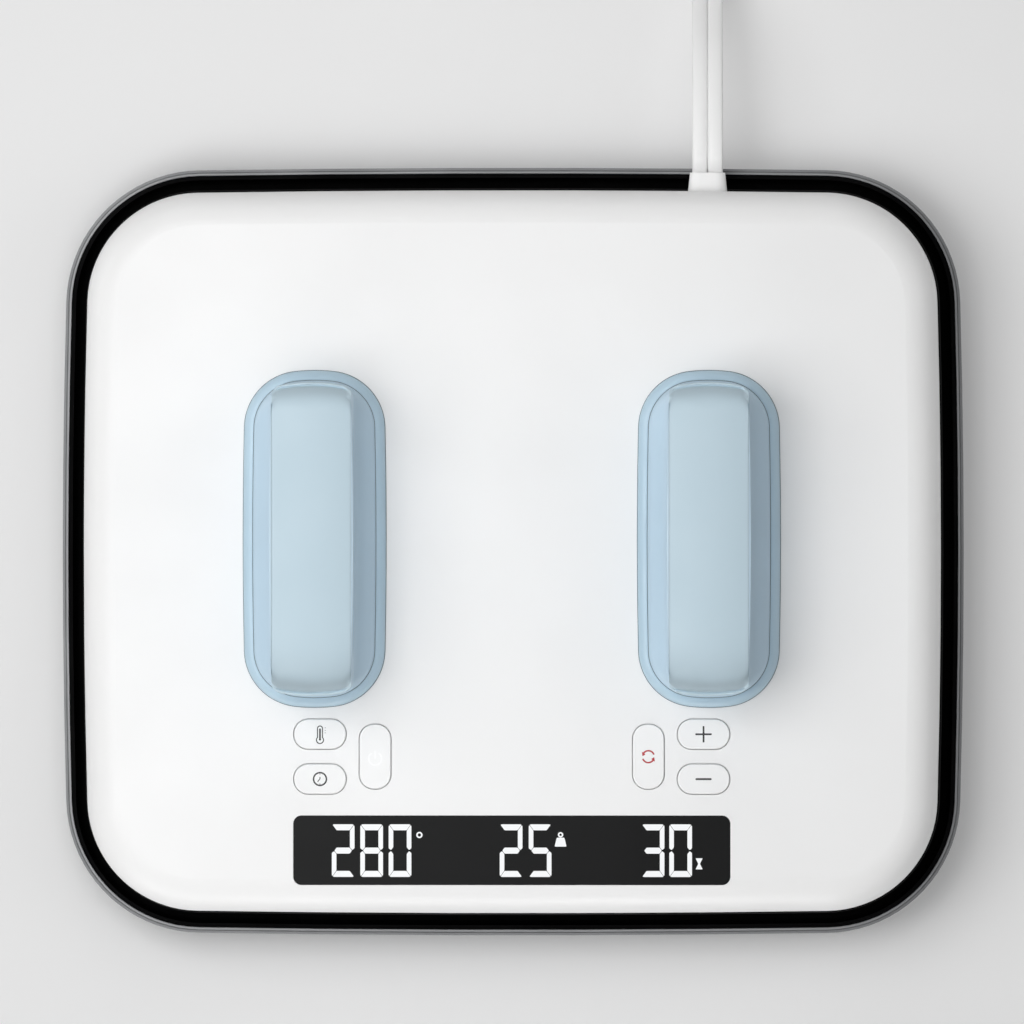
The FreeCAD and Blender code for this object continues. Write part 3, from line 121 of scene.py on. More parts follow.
def two_tone(tree, factor, first, second):
    """Colour that goes from the first to the second with the factor."""
    node = tree.nodes.new("ShaderNodeMix")
    node.data_type = "RGBA"
    node.inputs["A"].default_value = (*first, 1)
    node.inputs["B"].default_value = (*second, 1)
    for socket in node.inputs:
        if socket.name == "Factor" and socket.type == "VALUE":
            tree.links.new(factor, socket)
            break
    return node.outputs[2]


def relief(tree, height, depth, under=None):
    """Bump whose full height is the depth in metres, on top of another bump if one is given."""
    node = tree.nodes.new("ShaderNodeBump")
    node.inputs["Distance"].default_value = depth
    tree.links.new(height, node.inputs["Height"])
    if under is not None:
        tree.links.new(under, node.inputs["Normal"])
    return node.outputs["Normal"]


def shade(colour, amount):
    """Colour made lighter or darker, with no part of it over 1."""
    return tuple(min(1.0, c * amount) for c in colour)


def moulded(name, colour, rough, drift=0.04, patch=0.05, grain=0.0007, depth=0.00001, specular=0.5,
            sheen=0.0, coat=0.0):
    """Moulded or cast surface: its colour and gloss drift slowly over it, and a fine grain stands up."""
    made, tree, shader = blank_finish(name, colour, rough, specular=specular)
    shader.inputs["Sheen Weight"].default_value = sheen
    shader.inputs["Coat Weight"].default_value = coat
    shader.inputs["Coat Roughness"].default_value = rough * 0.5
    slow = pattern(tree, "Noise", patch, Detail=3.0)
    tint = two_tone(tree, spread(tree, slow, 0, 1), shade(colour, 1 - drift), shade(colour, 1 + drift))
    tree.links.new(tint, shader.inputs["Base Color"])
    worn = pattern(tree, "Noise", patch * 0.4, at=(0.3, 0.1, 0.2), Detail=4.0)
    tree.links.new(spread(tree, worn, rough * 0.85, min(1, rough * 1.15)), shader.inputs["Roughness"])
    fine = pattern(tree, "Noise", grain, Detail=2.0)
    tree.links.new(relief(tree, fine, depth), shader.inputs["Normal"])
    return made


def dress(finish, *names):
    """Gives a finish to CAD nodes."""
    for name in names:
        for material_slot in nodes[name].material_slots:
            material_slot.material = finish


foot_rubber = moulded("foot_rubber", (0.035, 0.035, 0.038), 0.75, grain=0.0005, depth=0.00003, specular=0.3)
dress(foot_rubber, "base_feet")

# Base shell.
# The grey outer tray, moulded in satin nylon.
# Its thin rim has a fine groove all round, which parts it in two.
grey_shell = moulded("grey_shell", (0.178, 0.183, 0.19), 0.42, drift=0.05, grain=0.0004, depth=0.000006)
dress(grey_shell, "base_shell")

# Felt under the liner.
# Needled insulating felt, cut to the tray's floor. Its fibres lie both ways and stand up a little.
felt, felt_tree, felt_shader = blank_finish("felt", (0.55, 0.52, 0.47), 0.95, specular=0.1)
felt_long = pattern(felt_tree, "Noise", 0.0004, stretch=(1, 0.12, 1), turn=0.5, Detail=5.0, Distortion=1.5)
felt_cross = pattern(felt_tree, "Noise", 0.0005, stretch=(0.14, 1, 1), turn=-0.3, Detail=5.0, Distortion=1.2)
felt_tint = two_tone(felt_tree, spread(felt_tree, felt_long, 0, 1), (0.44, 0.42, 0.37), (0.66, 0.63, 0.57))
felt_tree.links.new(felt_tint, felt_shader.inputs["Base Color"])
felt_bump = relief(felt_tree, felt_cross, 0.0003, relief(felt_tree, felt_long, 0.0003))
felt_tree.links.new(felt_bump, felt_shader.inputs["Normal"])
dress(felt, "base_felt")

# Black liner.
# Heat-proof nylon pan that drops into the shell, with a fine spark-eroded texture that takes the light away.
black_liner = moulded("black_liner", (0.002, 0.002, 0.0022), 0.6, grain=0.0006, depth=0.00003, specular=0.03)
dress(black_liner, "base_liner")

# Rest pads and their screws.
# Silicone pads that carry the hot plate, each held from below by a zinc-plated screw.
silicone = moulded("silicone", (0.05, 0.05, 0.056), 0.5, grain=0.0009, depth=0.00002, sheen=0.1)
dress(silicone, "rest_pads")


def drawn_metal(name, colour, rough, streak=0.0003, length=0.02, depth=0.000004, turn=0.0, drift=0.12):
    """Rolled or brushed metal: streaks run one way in its colour, gloss and height."""
    made, tree, shader = blank_finish(name, colour, rough, metal=1.0)
    lines = pattern(tree, "Noise", streak, stretch=(streak / length, 1, 1), turn=turn, Detail=3.0)
    tint = two_tone(tree, spread(tree, lines, 0, 1), shade(colour, 1 - drift), shade(colour, 1 + drift))
    tree.links.new(tint, shader.inputs["Base Color"])
    tree.links.new(spread(tree, lines, rough * 0.8, rough * 1.3), shader.inputs["Roughness"])
    tree.links.new(relief(tree, lines, depth), shader.inputs["Normal"])
    return made


steel = drawn_metal("zinc_plated_steel", (0.62, 0.62, 0.6), 0.32, length=0.001, drift=0.08)
dress(steel, "pad_screws", "plate_screws", "cover_screws", "load_screws", "board_screws",
      "handle_bolts_left", "handle_bolts_right")

# Hot plate.
# Cast aluminium with its heater cast in.
# Its lower face has a baked dark non-stick coat with fine bright flecks.
plate, plate_tree, plate_shader = blank_finish("coated_plate", (0.05, 0.05, 0.053), 0.38, specular=0.5)
flecks = pattern(plate_tree, "Voronoi", 0.0012, Randomness=1.0)
fleck_share = spread(plate_tree, flecks, 1, 0, start=0.05, end=0.16)
fleck_tint = two_tone(plate_tree, fleck_share, (0.045, 0.045, 0.048), (0.2, 0.2, 0.205))
plate_tree.links.new(fleck_tint, plate_shader.inputs["Base Color"])
plate_rough = pattern(plate_tree, "Noise", 0.02, Detail=4.0)
plate_tree.links.new(spread(plate_tree, plate_rough, 0.3, 0.46), plate_shader.inputs["Roughness"])
plate_grain = pattern(plate_tree, "Noise", 0.0006, Detail=2.0)
plate_tree.links.new(relief(plate_tree, plate_grain, 0.00002), plate_shader.inputs["Normal"])
dress(plate, "heat_plate")

# Heating tube, ceramic terminals and spacers.
# The tube is drawn steel, blued by heat; the terminals and spacers are pressed and fired steatite.
element_sheath = drawn_metal("oxidised_tube", (0.42, 0.38, 0.33), 0.45, drift=0.2)
dress(element_sheath, "heating_element")
ceramic = moulded("steatite", (0.82, 0.79, 0.72), 0.55, drift=0.03, grain=0.0004, depth=0.00002)
dress(ceramic, "element_terminals", "plate_spacers")

# Sensor, cut-out and fuse.
# Small pressed aluminium cases, screwed or clipped to the top of the hot plate.
pressed_case = drawn_metal("pressed_case", (0.72, 0.72, 0.72), 0.3, length=0.004)
dress(pressed_case, "temperature_sensor", "thermal_cutout", "thermal_fuse")

# Blanket and heat shield.
# Ceramic fibre board over the plate, under a pressed cap of bright sheet steel.
blanket, blanket_tree, blanket_shader = blank_finish("ceramic_fibre", (0.85, 0.84, 0.8), 1.0, specular=0.1)
tufts = pattern(blanket_tree, "Noise", 0.0012, Detail=8.0, Roughness=0.7)
tuft_tint = two_tone(blanket_tree, spread(blanket_tree, tufts, 0, 1), (0.72, 0.7, 0.65), (0.9, 0.89, 0.86))
blanket_tree.links.new(tuft_tint, blanket_shader.inputs["Base Color"])
blanket_tree.links.new(relief(blanket_tree, tufts, 0.0005), blanket_shader.inputs["Normal"])
dress(blanket, "plate_insulation")
shield_steel = drawn_metal("bright_sheet", (0.72, 0.72, 0.71), 0.22, length=0.05, drift=0.05)
dress(shield_steel, "heat_shield")

# Lower housing.
# Black skirt and deck in polished plastic. Its gloss has a faint waviness, and fine dust dulls it in patches.
gloss_black, gloss_tree, gloss_shader = blank_finish("polished_black", (0.002, 0.002, 0.0022), 0.08,
                                                     specular=0.06)
gloss_wave = pattern(gloss_tree, "Noise", 0.012, Detail=1.0)
gloss_tree.links.new(relief(gloss_tree, gloss_wave, 0.00002), gloss_shader.inputs["Normal"])
gloss_dust = pattern(gloss_tree, "Noise", 0.004, Detail=6.0, Roughness=0.7)
gloss_tree.links.new(spread(gloss_tree, gloss_dust, 0.05, 0.16), gloss_shader.inputs["Roughness"])
dress(gloss_black, "lower_housing")

# Frame and load cells.
# Laser-cut steel frame that joins the handles, on four machined aluminium load cells.
frame_steel = drawn_metal("zinc_plated_sheet", (0.64, 0.64, 0.62), 0.36, length=0.03)
dress(frame_steel, "load_frame")
cell_alloy = drawn_metal("machined_alloy", (0.75, 0.75, 0.74), 0.28, streak=0.0002, length=0.006)
dress(cell_alloy, "load_cells")


# Circuit boards.
# Glass epoxy under green solder mask. Copper tracks show through as paler squared lines.
def circuit_finish():
    """Squared lines of two sizes that cross at right angles, paler and a little higher than the mask."""
    made, tree, shader = blank_finish("solder_mask", (0.02, 0.16, 0.08), 0.3, specular=0.5)
    tracks = pattern(tree, "Brick", 0.006, Mortar_Size=0.012, Row_Height=0.4, Brick_Width=1.3)
    cross = pattern(tree, "Brick", 0.009, turn=math.pi / 2, Mortar_Size=0.01, Row_Height=0.5, Brick_Width=1.7)
    both = tree.nodes.new("ShaderNodeMath")
    both.operation = "MAXIMUM"
    tree.links.new(tracks, both.inputs[0])
    tree.links.new(cross, both.inputs[1])
    tint = two_tone(tree, both.outputs[0], (0.015, 0.13, 0.065), (0.06, 0.3, 0.15))
    tree.links.new(tint, shader.inputs["Base Color"])
    tree.links.new(relief(tree, both.outputs[0], 0.00004), shader.inputs["Normal"])
    return made


dress(circuit_finish(), "control_board", "power_board")

# Parts on the boards.
# Moulded switches, buzzer and triac, a blue relay, a finned anodised heat sink and the grey ribbon.
switch_black = moulded("switch_black", (0.025, 0.025, 0.026), 0.45, grain=0.0003, depth=0.00001)
dress(switch_black, "button_switches", "buzzer", "triac")
relay_blue = moulded("relay_blue", (0.04, 0.14, 0.4), 0.25, grain=0.002, depth=0.00001, coat=0.2)
dress(relay_blue, "power_relay")
sink_alloy = drawn_metal("anodised_fins", (0.16, 0.16, 0.17), 0.35, length=0.03, turn=math.pi / 2)
dress(sink_alloy, "heat_sink")
ribbon, ribbon_tree, ribbon_shader = blank_finish("ribbon_grey", (0.5, 0.51, 0.52), 0.45)
ribs = pattern(ribbon_tree, "Wave", 0.00127, Detail=0.0)
ribbon_tint = two_tone(ribbon_tree, ribs, (0.36, 0.37, 0.38), (0.6, 0.61, 0.62))
ribbon_tree.links.new(ribbon_tint, ribbon_shader.inputs["Base Color"])
ribbon_tree.links.new(relief(ribbon_tree, ribs, 0.0003), ribbon_shader.inputs["Normal"])
dress(ribbon, "ribbon_cable")


# Wires and terminal block.
# Woven glass sleeves on the hot side, plain extruded sleeves on the mains side, and a white nylon block.
def woven(name, first, second, yarn, source="Object"):
    """Plain weave: two sets of ridges, one yarn apart, cross at right angles and stand up where they meet."""
    made, tree, shader = blank_finish(name, first, 0.8, specular=0.2)
    warp = pattern(tree, "Wave", yarn, turn=math.pi / 4, source=source, Distortion=0.4)
    weft = pattern(tree, "Wave", yarn, turn=-math.pi / 4, source=source, Distortion=0.4)
    both = tree.nodes.new("ShaderNodeMath")
    both.operation = "MULTIPLY"
    tree.links.new(warp, both.inputs[0])
    tree.links.new(weft, both.inputs[1])
    tree.links.new(two_tone(tree, both.outputs[0], first, second), shader.inputs["Base Color"])
    tree.links.new(relief(tree, both.outputs[0], 0.0002), shader.inputs["Normal"])
    return made


dress(woven("glass_sleeve", (0.6, 0.54, 0.42), (0.84, 0.79, 0.68), 0.0006), "sensor_lead", "heater_leads")
lead_colour = moulded("lead_sleeve", (0.22, 0.1, 0.04), 0.4, grain=0.002, depth=0.00001)
dress(lead_colour, "mains_leads")
block_white = moulded("block_nylon", (0.8, 0.8, 0.77), 0.5, grain=0.0006, depth=0.00001)
dress(block_white, "terminal_block", "cord_clamp")

# Display.
# Reflector block and foam gasket under a smoked acrylic window that lies flush in the cover.
module_black = moulded("module_black", (0.04, 0.04, 0.04), 0.6, grain=0.0004, depth=0.00001)
dress(module_black, "display_module")
gasket_foam = moulded("gasket_foam", (0.03, 0.03, 0.03), 0.95, grain=0.0005, depth=0.0001, specular=0.1)
dress(gasket_foam, "display_gasket")
lens_black = moulded("smoked_acrylic", (0.008, 0.0082, 0.0085), 0.22, drift=0.02, grain=0.006, depth=0.000004,
                     specular=0.05)
dress(lens_black, "display_lens")


# Lit digits and unit marks.
# Seven-segment figures and small pictograms, lit films a few hundredths of a millimetre thick on the window:
# the temperature, the force and the time.
MM = 0.001  # Metres in a millimetre, for the shapes, which are written in millimetres.


def new_piece(name, points, faces, finish, smooth=False, crease=None):
    """Object with these points, in metres, and these faces. Edges past the crease, in degrees, stay sharp."""
    mesh = bpy.data.meshes.new(name)
    mesh.from_pydata(points.tolist(), [], faces)
    if smooth:
        mesh.shade_smooth()
    if crease is not None:
        mesh.set_sharp_from_angle(angle=math.radians(crease))
    mesh.update()
    piece = bpy.data.objects.new(name, mesh)
    bpy.context.scene.collection.objects.link(piece)
    mesh.materials.append(finish)
    return piece


def inlay(name, patches, bottom, thick, finish):
    """Thin film of flat patches. A patch is one outline, or the outer and the inner line of a ring with as
    many points each. Point i of a line lies at (x_i, y_i, bottom + k thick): k is 0 below and 1 on top, and
    walls join the two."""
    points, faces, start = [], [], 0
    for patch in patches:
        flat = np.asarray(patch).reshape(-1, 2)
        count = len(flat)
        points += [np.column_stack([flat, np.full(count, z)]) for z in (bottom, bottom + thick)]
        index = start + np.arange(count)
        start += 2 * count
        if np.ndim(patch) == 2:
            following = np.roll(flat, -1, axis=0)
            turn = np.sum(flat[:, 0] * following[:, 1] - flat[:, 1] * following[:, 0])
            loops = [index if turn > 0 else index[::-1]]
            faces += [(loops[0] + count).tolist(), loops[0][::-1].tolist()]
        else:
            outer, inner = index.reshape(2, -1)
            loops = [outer, inner[::-1]]
            flange = np.stack([inner, outer, np.roll(outer, -1), np.roll(inner, -1)], 1)
            faces += (flange + count).tolist() + flange[:, ::-1].tolist()
        for loop in loops:
            following = np.roll(loop, -1)
            faces += np.stack([loop, following, following + count, loop + count], 1).tolist()
    return new_piece(name, np.concatenate(points) * MM, faces, finish)


def arc(x, y, r, start=0, end=360, count=41):
    """Points at (x + r cos t, y + r sin t) for t from start to end, in degrees. A full circle leaves out
    its last."""
    t = np.radians(np.linspace(start, end, count, endpoint=abs(end - start) < 360))
    return np.stack([x + r * np.cos(t), y + r * np.sin(t)], 1)


def ring(x, y, outer, inner, count=48):
    """Flat ring about (x, y), as the lines of its outer and its inner radius."""
    return np.stack([arc(x, y, outer, count=count), arc(x, y, inner, count=count)])


def softened(corners, cut, steps=5):
    """Outline with soft corners. Corner P becomes (1-u)^2 A + 2u(1-u) P + u^2 B, where A and B lie the cut
    from P along its two sides, or 0.45 of the side if that is less."""
    corners = np.asarray(corners, float)
    sides = [np.roll(corners, shift, axis=0) - corners for shift in (1, -1)]
    a, b = [corners + s * np.minimum(0.45, cut / np.linalg.norm(s, axis=1))[:, None] for s in sides]
    u = np.linspace(0, 1, steps)[:, None]
    return ((1 - u) ** 2 * a[:, None] + 2 * u * (1 - u) * corners[:, None] + u**2 * b[:, None]).reshape(-1, 2)


DIGIT_W = 8.6
DIGIT_H = 19.95
BAR_UPRIGHT = 1.74
BAR_LEVEL = 2.28
BAR_GAP = 0.1
DIGIT_CORNER = 0.75
MITRE_CUT = 0.3
BAR_SOFT = 0.3
LIT = {"0": "abcdef", "2": "abdeg", "3": "abcdg", "5": "acdfg", "8": "abcdefg"}


def digit(figure, left, low):
    """Seven-segment figure from its lower left corner. Its bars meet on mitres with a hairline between
    them, and the mitre's outer end is cut back for the figure's round corner."""
    w, h, t, l, k, r = DIGIT_W, DIGIT_H, BAR_UPRIGHT, BAR_LEVEL, BAR_GAP, DIGIT_CORNER
    mid, cut = h / 2, MITRE_CUT * r
    top = np.array([(r, h), (w - r, h), (w - cut - k, h - cut), (w - t - k, h - l), (t + k, h - l),
                    (cut + k, h - cut)])
    upright = np.array([(w, h - r), (w - cut, h - cut - k), (w - t, h - l - k), (w - t, mid + l / 2 + k),
                        (w - t / 2, mid + 2 * k), (w, mid + l / 3 + k)])
    middle = np.array([(t / 2 + k, mid), (t + k, mid + l / 2), (w - t - k, mid + l / 2), (w - t / 2 - k, mid),
                       (w - t - k, mid - l / 2), (t + k, mid - l / 2)])
    down, across = np.array([0, h]), np.array([w, 0])
    bars = {
        "a": top,
        "b": upright,
        "c": down + upright * (1, -1),
        "d": down + top * (1, -1),
        "e": down + across - upright,
        "f": across + upright * (-1, 1),
        "g": middle,
    }
    return [softened(bars[bar] + (left, low), BAR_SOFT) for bar in LIT[figure]]


DIGIT_GLOW = 0.9
digit_light, digit_tree, digit_shader = blank_finish("digit_light", (0.05, 0.05, 0.05), 0.35)
glow = pattern(digit_tree, "Noise", 0.004, Detail=2.0)
digit_tree.links.new(two_tone(digit_tree, glow, (0.84, 0.86, 0.88), (0.93, 0.94, 0.95)),
                     digit_shader.inputs["Emission Color"])
digit_shader.inputs["Emission Strength"].default_value = DIGIT_GLOW
FILM_T = 0.03
lens_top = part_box("display_lens")[1].z / MM
DIGIT_LOW_Y = -123.2
figures = {
    "display_temperature": [("2", -68.2), ("8", -57.4), ("0", -46.65)],
    "display_force": [("2", -4.55), ("5", 6.45)],
    "display_time": [("3", 49.25), ("0", 59.7)],
}
for name, row in figures.items():
    bars = [bar for figure, left in row for bar in digit(figure, left, DIGIT_LOW_Y)]
    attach(inlay(name, bars, lens_top, FILM_T, digit_light), "press")


def weight_mark(x, y, size):
    """Pictogram of a weight: a tapered block under a ring."""
    block = [(-0.42, -0.5), (0.42, -0.5), (0.27, 0.13), (-0.27, 0.13)]
    handle = ring(x, y + size * 0.33, size * 0.19, size * 0.085)
    return [softened(np.array(block) * size + (x, y), 0.4), handle]


def hourglass_mark(x, y, w, h):
    """Pictogram of an hourglass: two triangles that meet at a narrow waist."""
    glass = [(-0.5, 0.5), (0.5, 0.5), (0.12, 0), (0.5, -0.5), (-0.5, -0.5), (-0.12, 0)]
    return [softened(np.array(glass) * (w, h) + (x, y), 0.3)]


unit_marks = {
    "display_degree": [ring(-35.0, -107.3, 1.2, 0.62)],
    "display_weight": weight_mark(18.5, -109.0, 5.4),
    "display_hourglass": hourglass_mark(71.0, -118.2, 2.7, 4.2),
}
for name, patches in unit_marks.items():
    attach(inlay(name, patches, lens_top, FILM_T, digit_light), "press")

# Top cover.
# White shell, moulded in one piece with a soft satin grain.
# It has a rolled shoulder that carries the light round.
cover_white = moulded("cover_white", (0.885, 0.884, 0.882), 0.38, drift=0.012, patch=0.08, grain=0.0005,
                      depth=0.000004, specular=0.4)
dress(cover_white, "top_cover")

# Buttons and their printed marks.
# Satin white caps that stand just proud of the cover.
# Each mark is ink a few hundredths of a millimetre thick.
button_white = moulded("button_white", (0.9, 0.9, 0.898), 0.36, drift=0.01, patch=0.03, grain=0.0005,
                       depth=0.000003, specular=0.4)
dress(button_white, *[name for name in nodes if name.startswith("button_") and name != "button_switches"])
ink_black = moulded("ink_black", (0.012, 0.012, 0.013), 0.5, patch=0.002, grain=0.0002, depth=0.000004)
ink_red = moulded("ink_red", (0.42, 0.012, 0.022), 0.5, patch=0.002, grain=0.0002, depth=0.000004)
ink_grey = moulded("ink_grey", (0.3, 0.3, 0.3), 0.5, patch=0.002, grain=0.0002, depth=0.000004)
light_guide = moulded("light_guide", (0.97, 0.97, 0.97), 0.25, drift=0.01, patch=0.004, grain=0.001,
                      depth=0.000004)
INK_T = 0.02


def stroke(a, b, width):
    """Straight stroke with round ends: a half circle about each of its two points."""
    heading = math.degrees(math.atan2(b[1] - a[1], b[0] - a[0]))
    r = width / 2
    ends = [arc(*b, r, heading - 90, heading + 90, 9), arc(*a, r, heading + 90, heading + 270, 9)]
    return np.concatenate(ends)


def bow(x, y, r, width, start, end):
    """Stroke along a circle from one angle to another, with square ends."""
    outer = arc(x, y, r + width / 2, start, end, 33)
    return np.concatenate([outer, arc(x, y, r - width / 2, end, start, 33)])


def thermometer_mark(x, y):
    """A line round a stem that runs into a bulb, with a filled core. The line's two sides are the same
    outline, grown and shrunk."""
    bulb_y, cap_y, bulb_r, stem, half_line = y - 2.2, y + 2.15, 1.34, 0.94, 0.2
    sides = []
    for grow in (half_line, -half_line):
        meet = math.degrees(math.asin((stem + grow) / (bulb_r + grow)))
        bulb = arc(x, bulb_y, bulb_r + grow, 90 + meet, 450 - meet, 33)
        sides.append(np.concatenate([bulb, arc(x, cap_y, stem + grow, 0, 180, 17)]))
    core = np.concatenate([arc(x, y - 2.0, 0.42, 140, 400, 17), arc(x, y + 1.85, 0.32, 0, 180, 9)])
    return [np.stack(sides), core]


def scale_mark(x, y):
    """Three short ticks beside the thermometer."""
    return [stroke((x + 1.85, y + up), (x + 2.15, y + up), 0.26) for up in (0.5, 1.45, 2.4)]


def clock_mark(x, y):
    """A dial with two hands in one piece and ticks at the top and the foot."""
    hands = [(0.17, 0.8), (0.17, 0.0), (-0.78, -1.14), (-1.05, -0.9), (-0.17, 0.12), (-0.17, 0.8)]
    ticks = [stroke((x, y + side * 1.98), (x, y + side * 1.82), 0.3) for side in (1, -1)]
    return [ring(x, y, 2.72, 2.14, 56), softened(np.array(hands) + (x, y), 0.12)] + ticks


def power_mark(x, y):
    """A ring that is open at the top, with an upright stroke in the opening."""
    y -= 0.76
    return [bow(x, y, 2.45, 0.66, 122, 418), stroke((x, y + 0.2), (x, y + 2.75), 0.66)]


def cycle_mark(x, y):
    """Two bent arrows that chase each other round."""
    patches = []
    for half in (0, 180):
        start, end = half + 20, half + 142
        r, t = np.array([3.1, 2.25, 1.4]), np.radians([end, end + 34, end])
        head = np.stack([x + r * np.cos(t), y + r * np.sin(t)], 1)
        patches += [bow(x, y, 2.25, 0.58, start, end), softened(head, 0.15)]
    return patches


def minus_mark(x, y):
    """One level stroke."""
    return [stroke((x - 2.72, y), (x + 2.72, y), 0.72)]


def plus_mark(x, y):
    """Two equal strokes crossed, in one outline."""
    long, half = 3.1, 0.34
    arm = np.array([(half, half), (half, long), (-half, long)])
    turns = [arm @ np.array([(c, s), (-s, c)]) for c, s in ((1, 0), (0, 1), (-1, 0), (0, -1))]
    return [softened(np.concatenate(turns) + (x, y), 0.24)]


marks = {
    "mark_thermometer": ("temperature", thermometer_mark, ink_black),
    "mark_scale": ("temperature", scale_mark, ink_grey),
    "mark_clock": ("timer", clock_mark, ink_black),
    "mark_power": ("power", power_mark, light_guide),
    "mark_cycle": ("mode", cycle_mark, ink_red),
    "mark_plus": ("plus", plus_mark, ink_black),
    "mark_minus": ("minus", minus_mark, ink_black),
}
for name, (key, draw, ink) in marks.items():
    low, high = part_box("button_" + key)
    middle = (low + high) / 2 / MM
    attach(inlay(name, draw(middle.x, middle.y), high.z / MM, INK_T, ink), "button_" + key + "_cap")

# Handles.
# Each is a flange and a hollow grip, moulded in pale blue satin plastic, with a softer strap over the top.
handle_blue = moulded("handle_blue", (0.47, 0.625, 0.73), 0.42, drift=0.02, patch=0.04, grain=0.0005,
                      depth=0.000005, specular=0.6)
dress(handle_blue, "handle_base_left", "handle_base_right")
grip_blue = moulded("grip_blue", (0.505, 0.65, 0.76), 0.42, drift=0.02, patch=0.04, grain=0.0005,
                    depth=0.000005, specular=0.6)
dress(grip_blue, "handle_grip_left", "handle_grip_right")

# Painted shadow lines at the handles.
# Hair-thin dark films along the joint at the foot of each flange and at the foot of each grip: painted
# contact shadow.
SHADOW_LINE_T = 0.05
SHADOW_LINE_UNDER = 0.1
FLANGE_SHADOW_W = 0.28
GRIP_SHADOW_W = 0.2
FLANGE_H = 4.5
OUTLINE_POINTS = 1440
# Painted shadow: a dark film that stands for the contact shade along each joint at a handle's foot.
painted_joint_shadow = moulded("painted_joint_shadow", (0.2, 0.25, 0.28), 0.6, grain=0.0005, depth=0.00001, specular=0.2)


def mesh_points(mesh):
    """Points of a mesh, one to a row."""
    points = np.empty(3 * len(mesh.vertices))
    mesh.vertices.foreach_get("co", points)
    return points.reshape(-1, 3)


def lip(node, outer, inner):
    """Flat ring along the outline of a node. The outline is the node's furthest point in each of many even
    directions, and the ring's two lines lie the outer and the inner distance out from it along them."""
    flat = np.unique(np.round(mesh_points(nodes[node].data)[:, :2] / MM, 3), axis=0)
    toward = arc(0, 0, 1, count=OUTLINE_POINTS)
    rim = flat[np.argmax(toward @ flat.T, axis=1)]
    new = np.any(rim != np.roll(rim, 1, axis=0), axis=1)
    rim, toward = rim[new], toward[new]
    return np.stack([rim + outer * toward, rim + inner * toward])


cover_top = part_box("handle_base_left")[1].z / MM - FLANGE_H
shadow_lines = (("flange_shadow_line_", "handle_base_", FLANGE_SHADOW_W, cover_top),
         ("grip_shadow_line_", "handle_grip_", GRIP_SHADOW_W, cover_top + FLANGE_H))
for side in ("left", "right"):
    for name, node, width, bottom in shadow_lines:
        shadow_outline = lip(node + side, width, -SHADOW_LINE_UNDER)
        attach(inlay(name + side, [shadow_outline], bottom, SHADOW_LINE_T, painted_joint_shadow), "press")

# Lines on the base's rim.
# A pale bead runs along the inner edge of the rim. A strip of darker grey in the groove beside it is painted
# shade.
# The bead is moulded in one with the shell.
RIM_W = 2.1
RIM_EDGE = 0.12
GROOVE_W = 0.33
GROOVE_DEPTH = 0.5
BEAD_W = 0.55
BEAD_T = 0.1
rim_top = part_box("base_shell")[1].z / MM
bead_grey = moulded("bead_grey", (0.26, 0.265, 0.274), 0.4, drift=0.05, grain=0.0004, depth=0.000006)
# Painted shade: the groove's floor is coloured darker than the shell round it.
painted_groove_shade = moulded("painted_groove_shade", (0.09, 0.093, 0.097), 0.5, drift=0.05, grain=0.0004, depth=0.000006)
bead_line = lip("base_shell", BEAD_W + RIM_EDGE - RIM_W, RIM_EDGE - RIM_W)
groove_line = lip("base_shell", (GROOVE_W - RIM_W) / 2, -(GROOVE_W + RIM_W) / 2)
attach(inlay("rim_bead", [bead_line], rim_top, BEAD_T, bead_grey), "base")
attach(inlay("rim_groove", [groove_line], rim_top - GROOVE_DEPTH, BEAD_T, painted_groove_shade), "base")

# Grip straps.
# Softer straps, moulded on to the top of each grip between two thin walls. They are crowned from side to
# side, roll down at both ends, and finish there in a fine raised lip. Shade is painted on the rolled ends.
GRIP_CROWN_R = 60.0
GRIP_END_R = 65.0
GRIP_ROLL_R = 11.0
STRAP_T = 1.6
STRAP_LEAST_T = 0.2
STRAP_CORNER_R = 4.5
STRAP_WALL = 0.8
STRAP_COLUMNS = 33
LIP_ROWS = np.linspace(0, 2.2, 23)
ROLL_ROWS = np.linspace(2.5, GRIP_ROLL_R, 24)
MIDDLE_ROWS = np.linspace(0.94, -0.94, 33)
LIP_W = 1.2
# Bell curves along the strap from its end: how high, how far in and how wide.
VALLEY = (0.35, 1.35, 0.35)
RAISED_LIP = (0.3, 0.6, 0.45)
LIP_EDGE = (0.4, 0.0, 0.16)
# The next three curves and the fade set the shade painted on the rolled ends, where the strap is coloured
# darker.
REAR_END_SHADE = (0.49, 3.0, 3.2)
FRONT_END_SHADE = (0.4, 4.0, 2.2)
FRONT_WIDE_END_SHADE = (0.65, 0.0, 12.0)
END_SHADE_FADE = 0.7
STRAP_BLUE = (0.505, 0.634, 0.71)
# Colour of the painted shade on the rolled ends.
SHADED_END_BLUE = (0.313, 0.393, 0.44)


def strap_finish():
    """Soft satin rubber with a fine grain, with shade painted on the rolled ends, most of all at the
    front."""
    made = moulded("pad_blue", STRAP_BLUE, 0.55, grain=0.0006, depth=0.000008, specular=0.35, sheen=0.15)
    tree = made.node_tree
    shader = tree.nodes["Principled BSDF"]
    # Painted shade: the colour goes darker towards the rolled ends, by a value that the mesh carries, with a
    # little random spread.
    painted_end_shade = tree.nodes.new("ShaderNodeAttribute")
    painted_end_shade.attribute_name = "painted_end_shade"
    patches = pattern(tree, "Noise", 0.012, Detail=3.0)
    both = tree.nodes.new("ShaderNodeMath")
    both.operation = "MULTIPLY"
    tree.links.new(painted_end_shade.outputs["Fac"], both.inputs[0])
    tree.links.new(spread(tree, patches, 0.85, 1.0), both.inputs[1])
    tree.links.new(two_tone(tree, both.outputs[0], STRAP_BLUE, SHADED_END_BLUE), shader.inputs["Base Color"])
    return made


pad_blue = strap_finish()


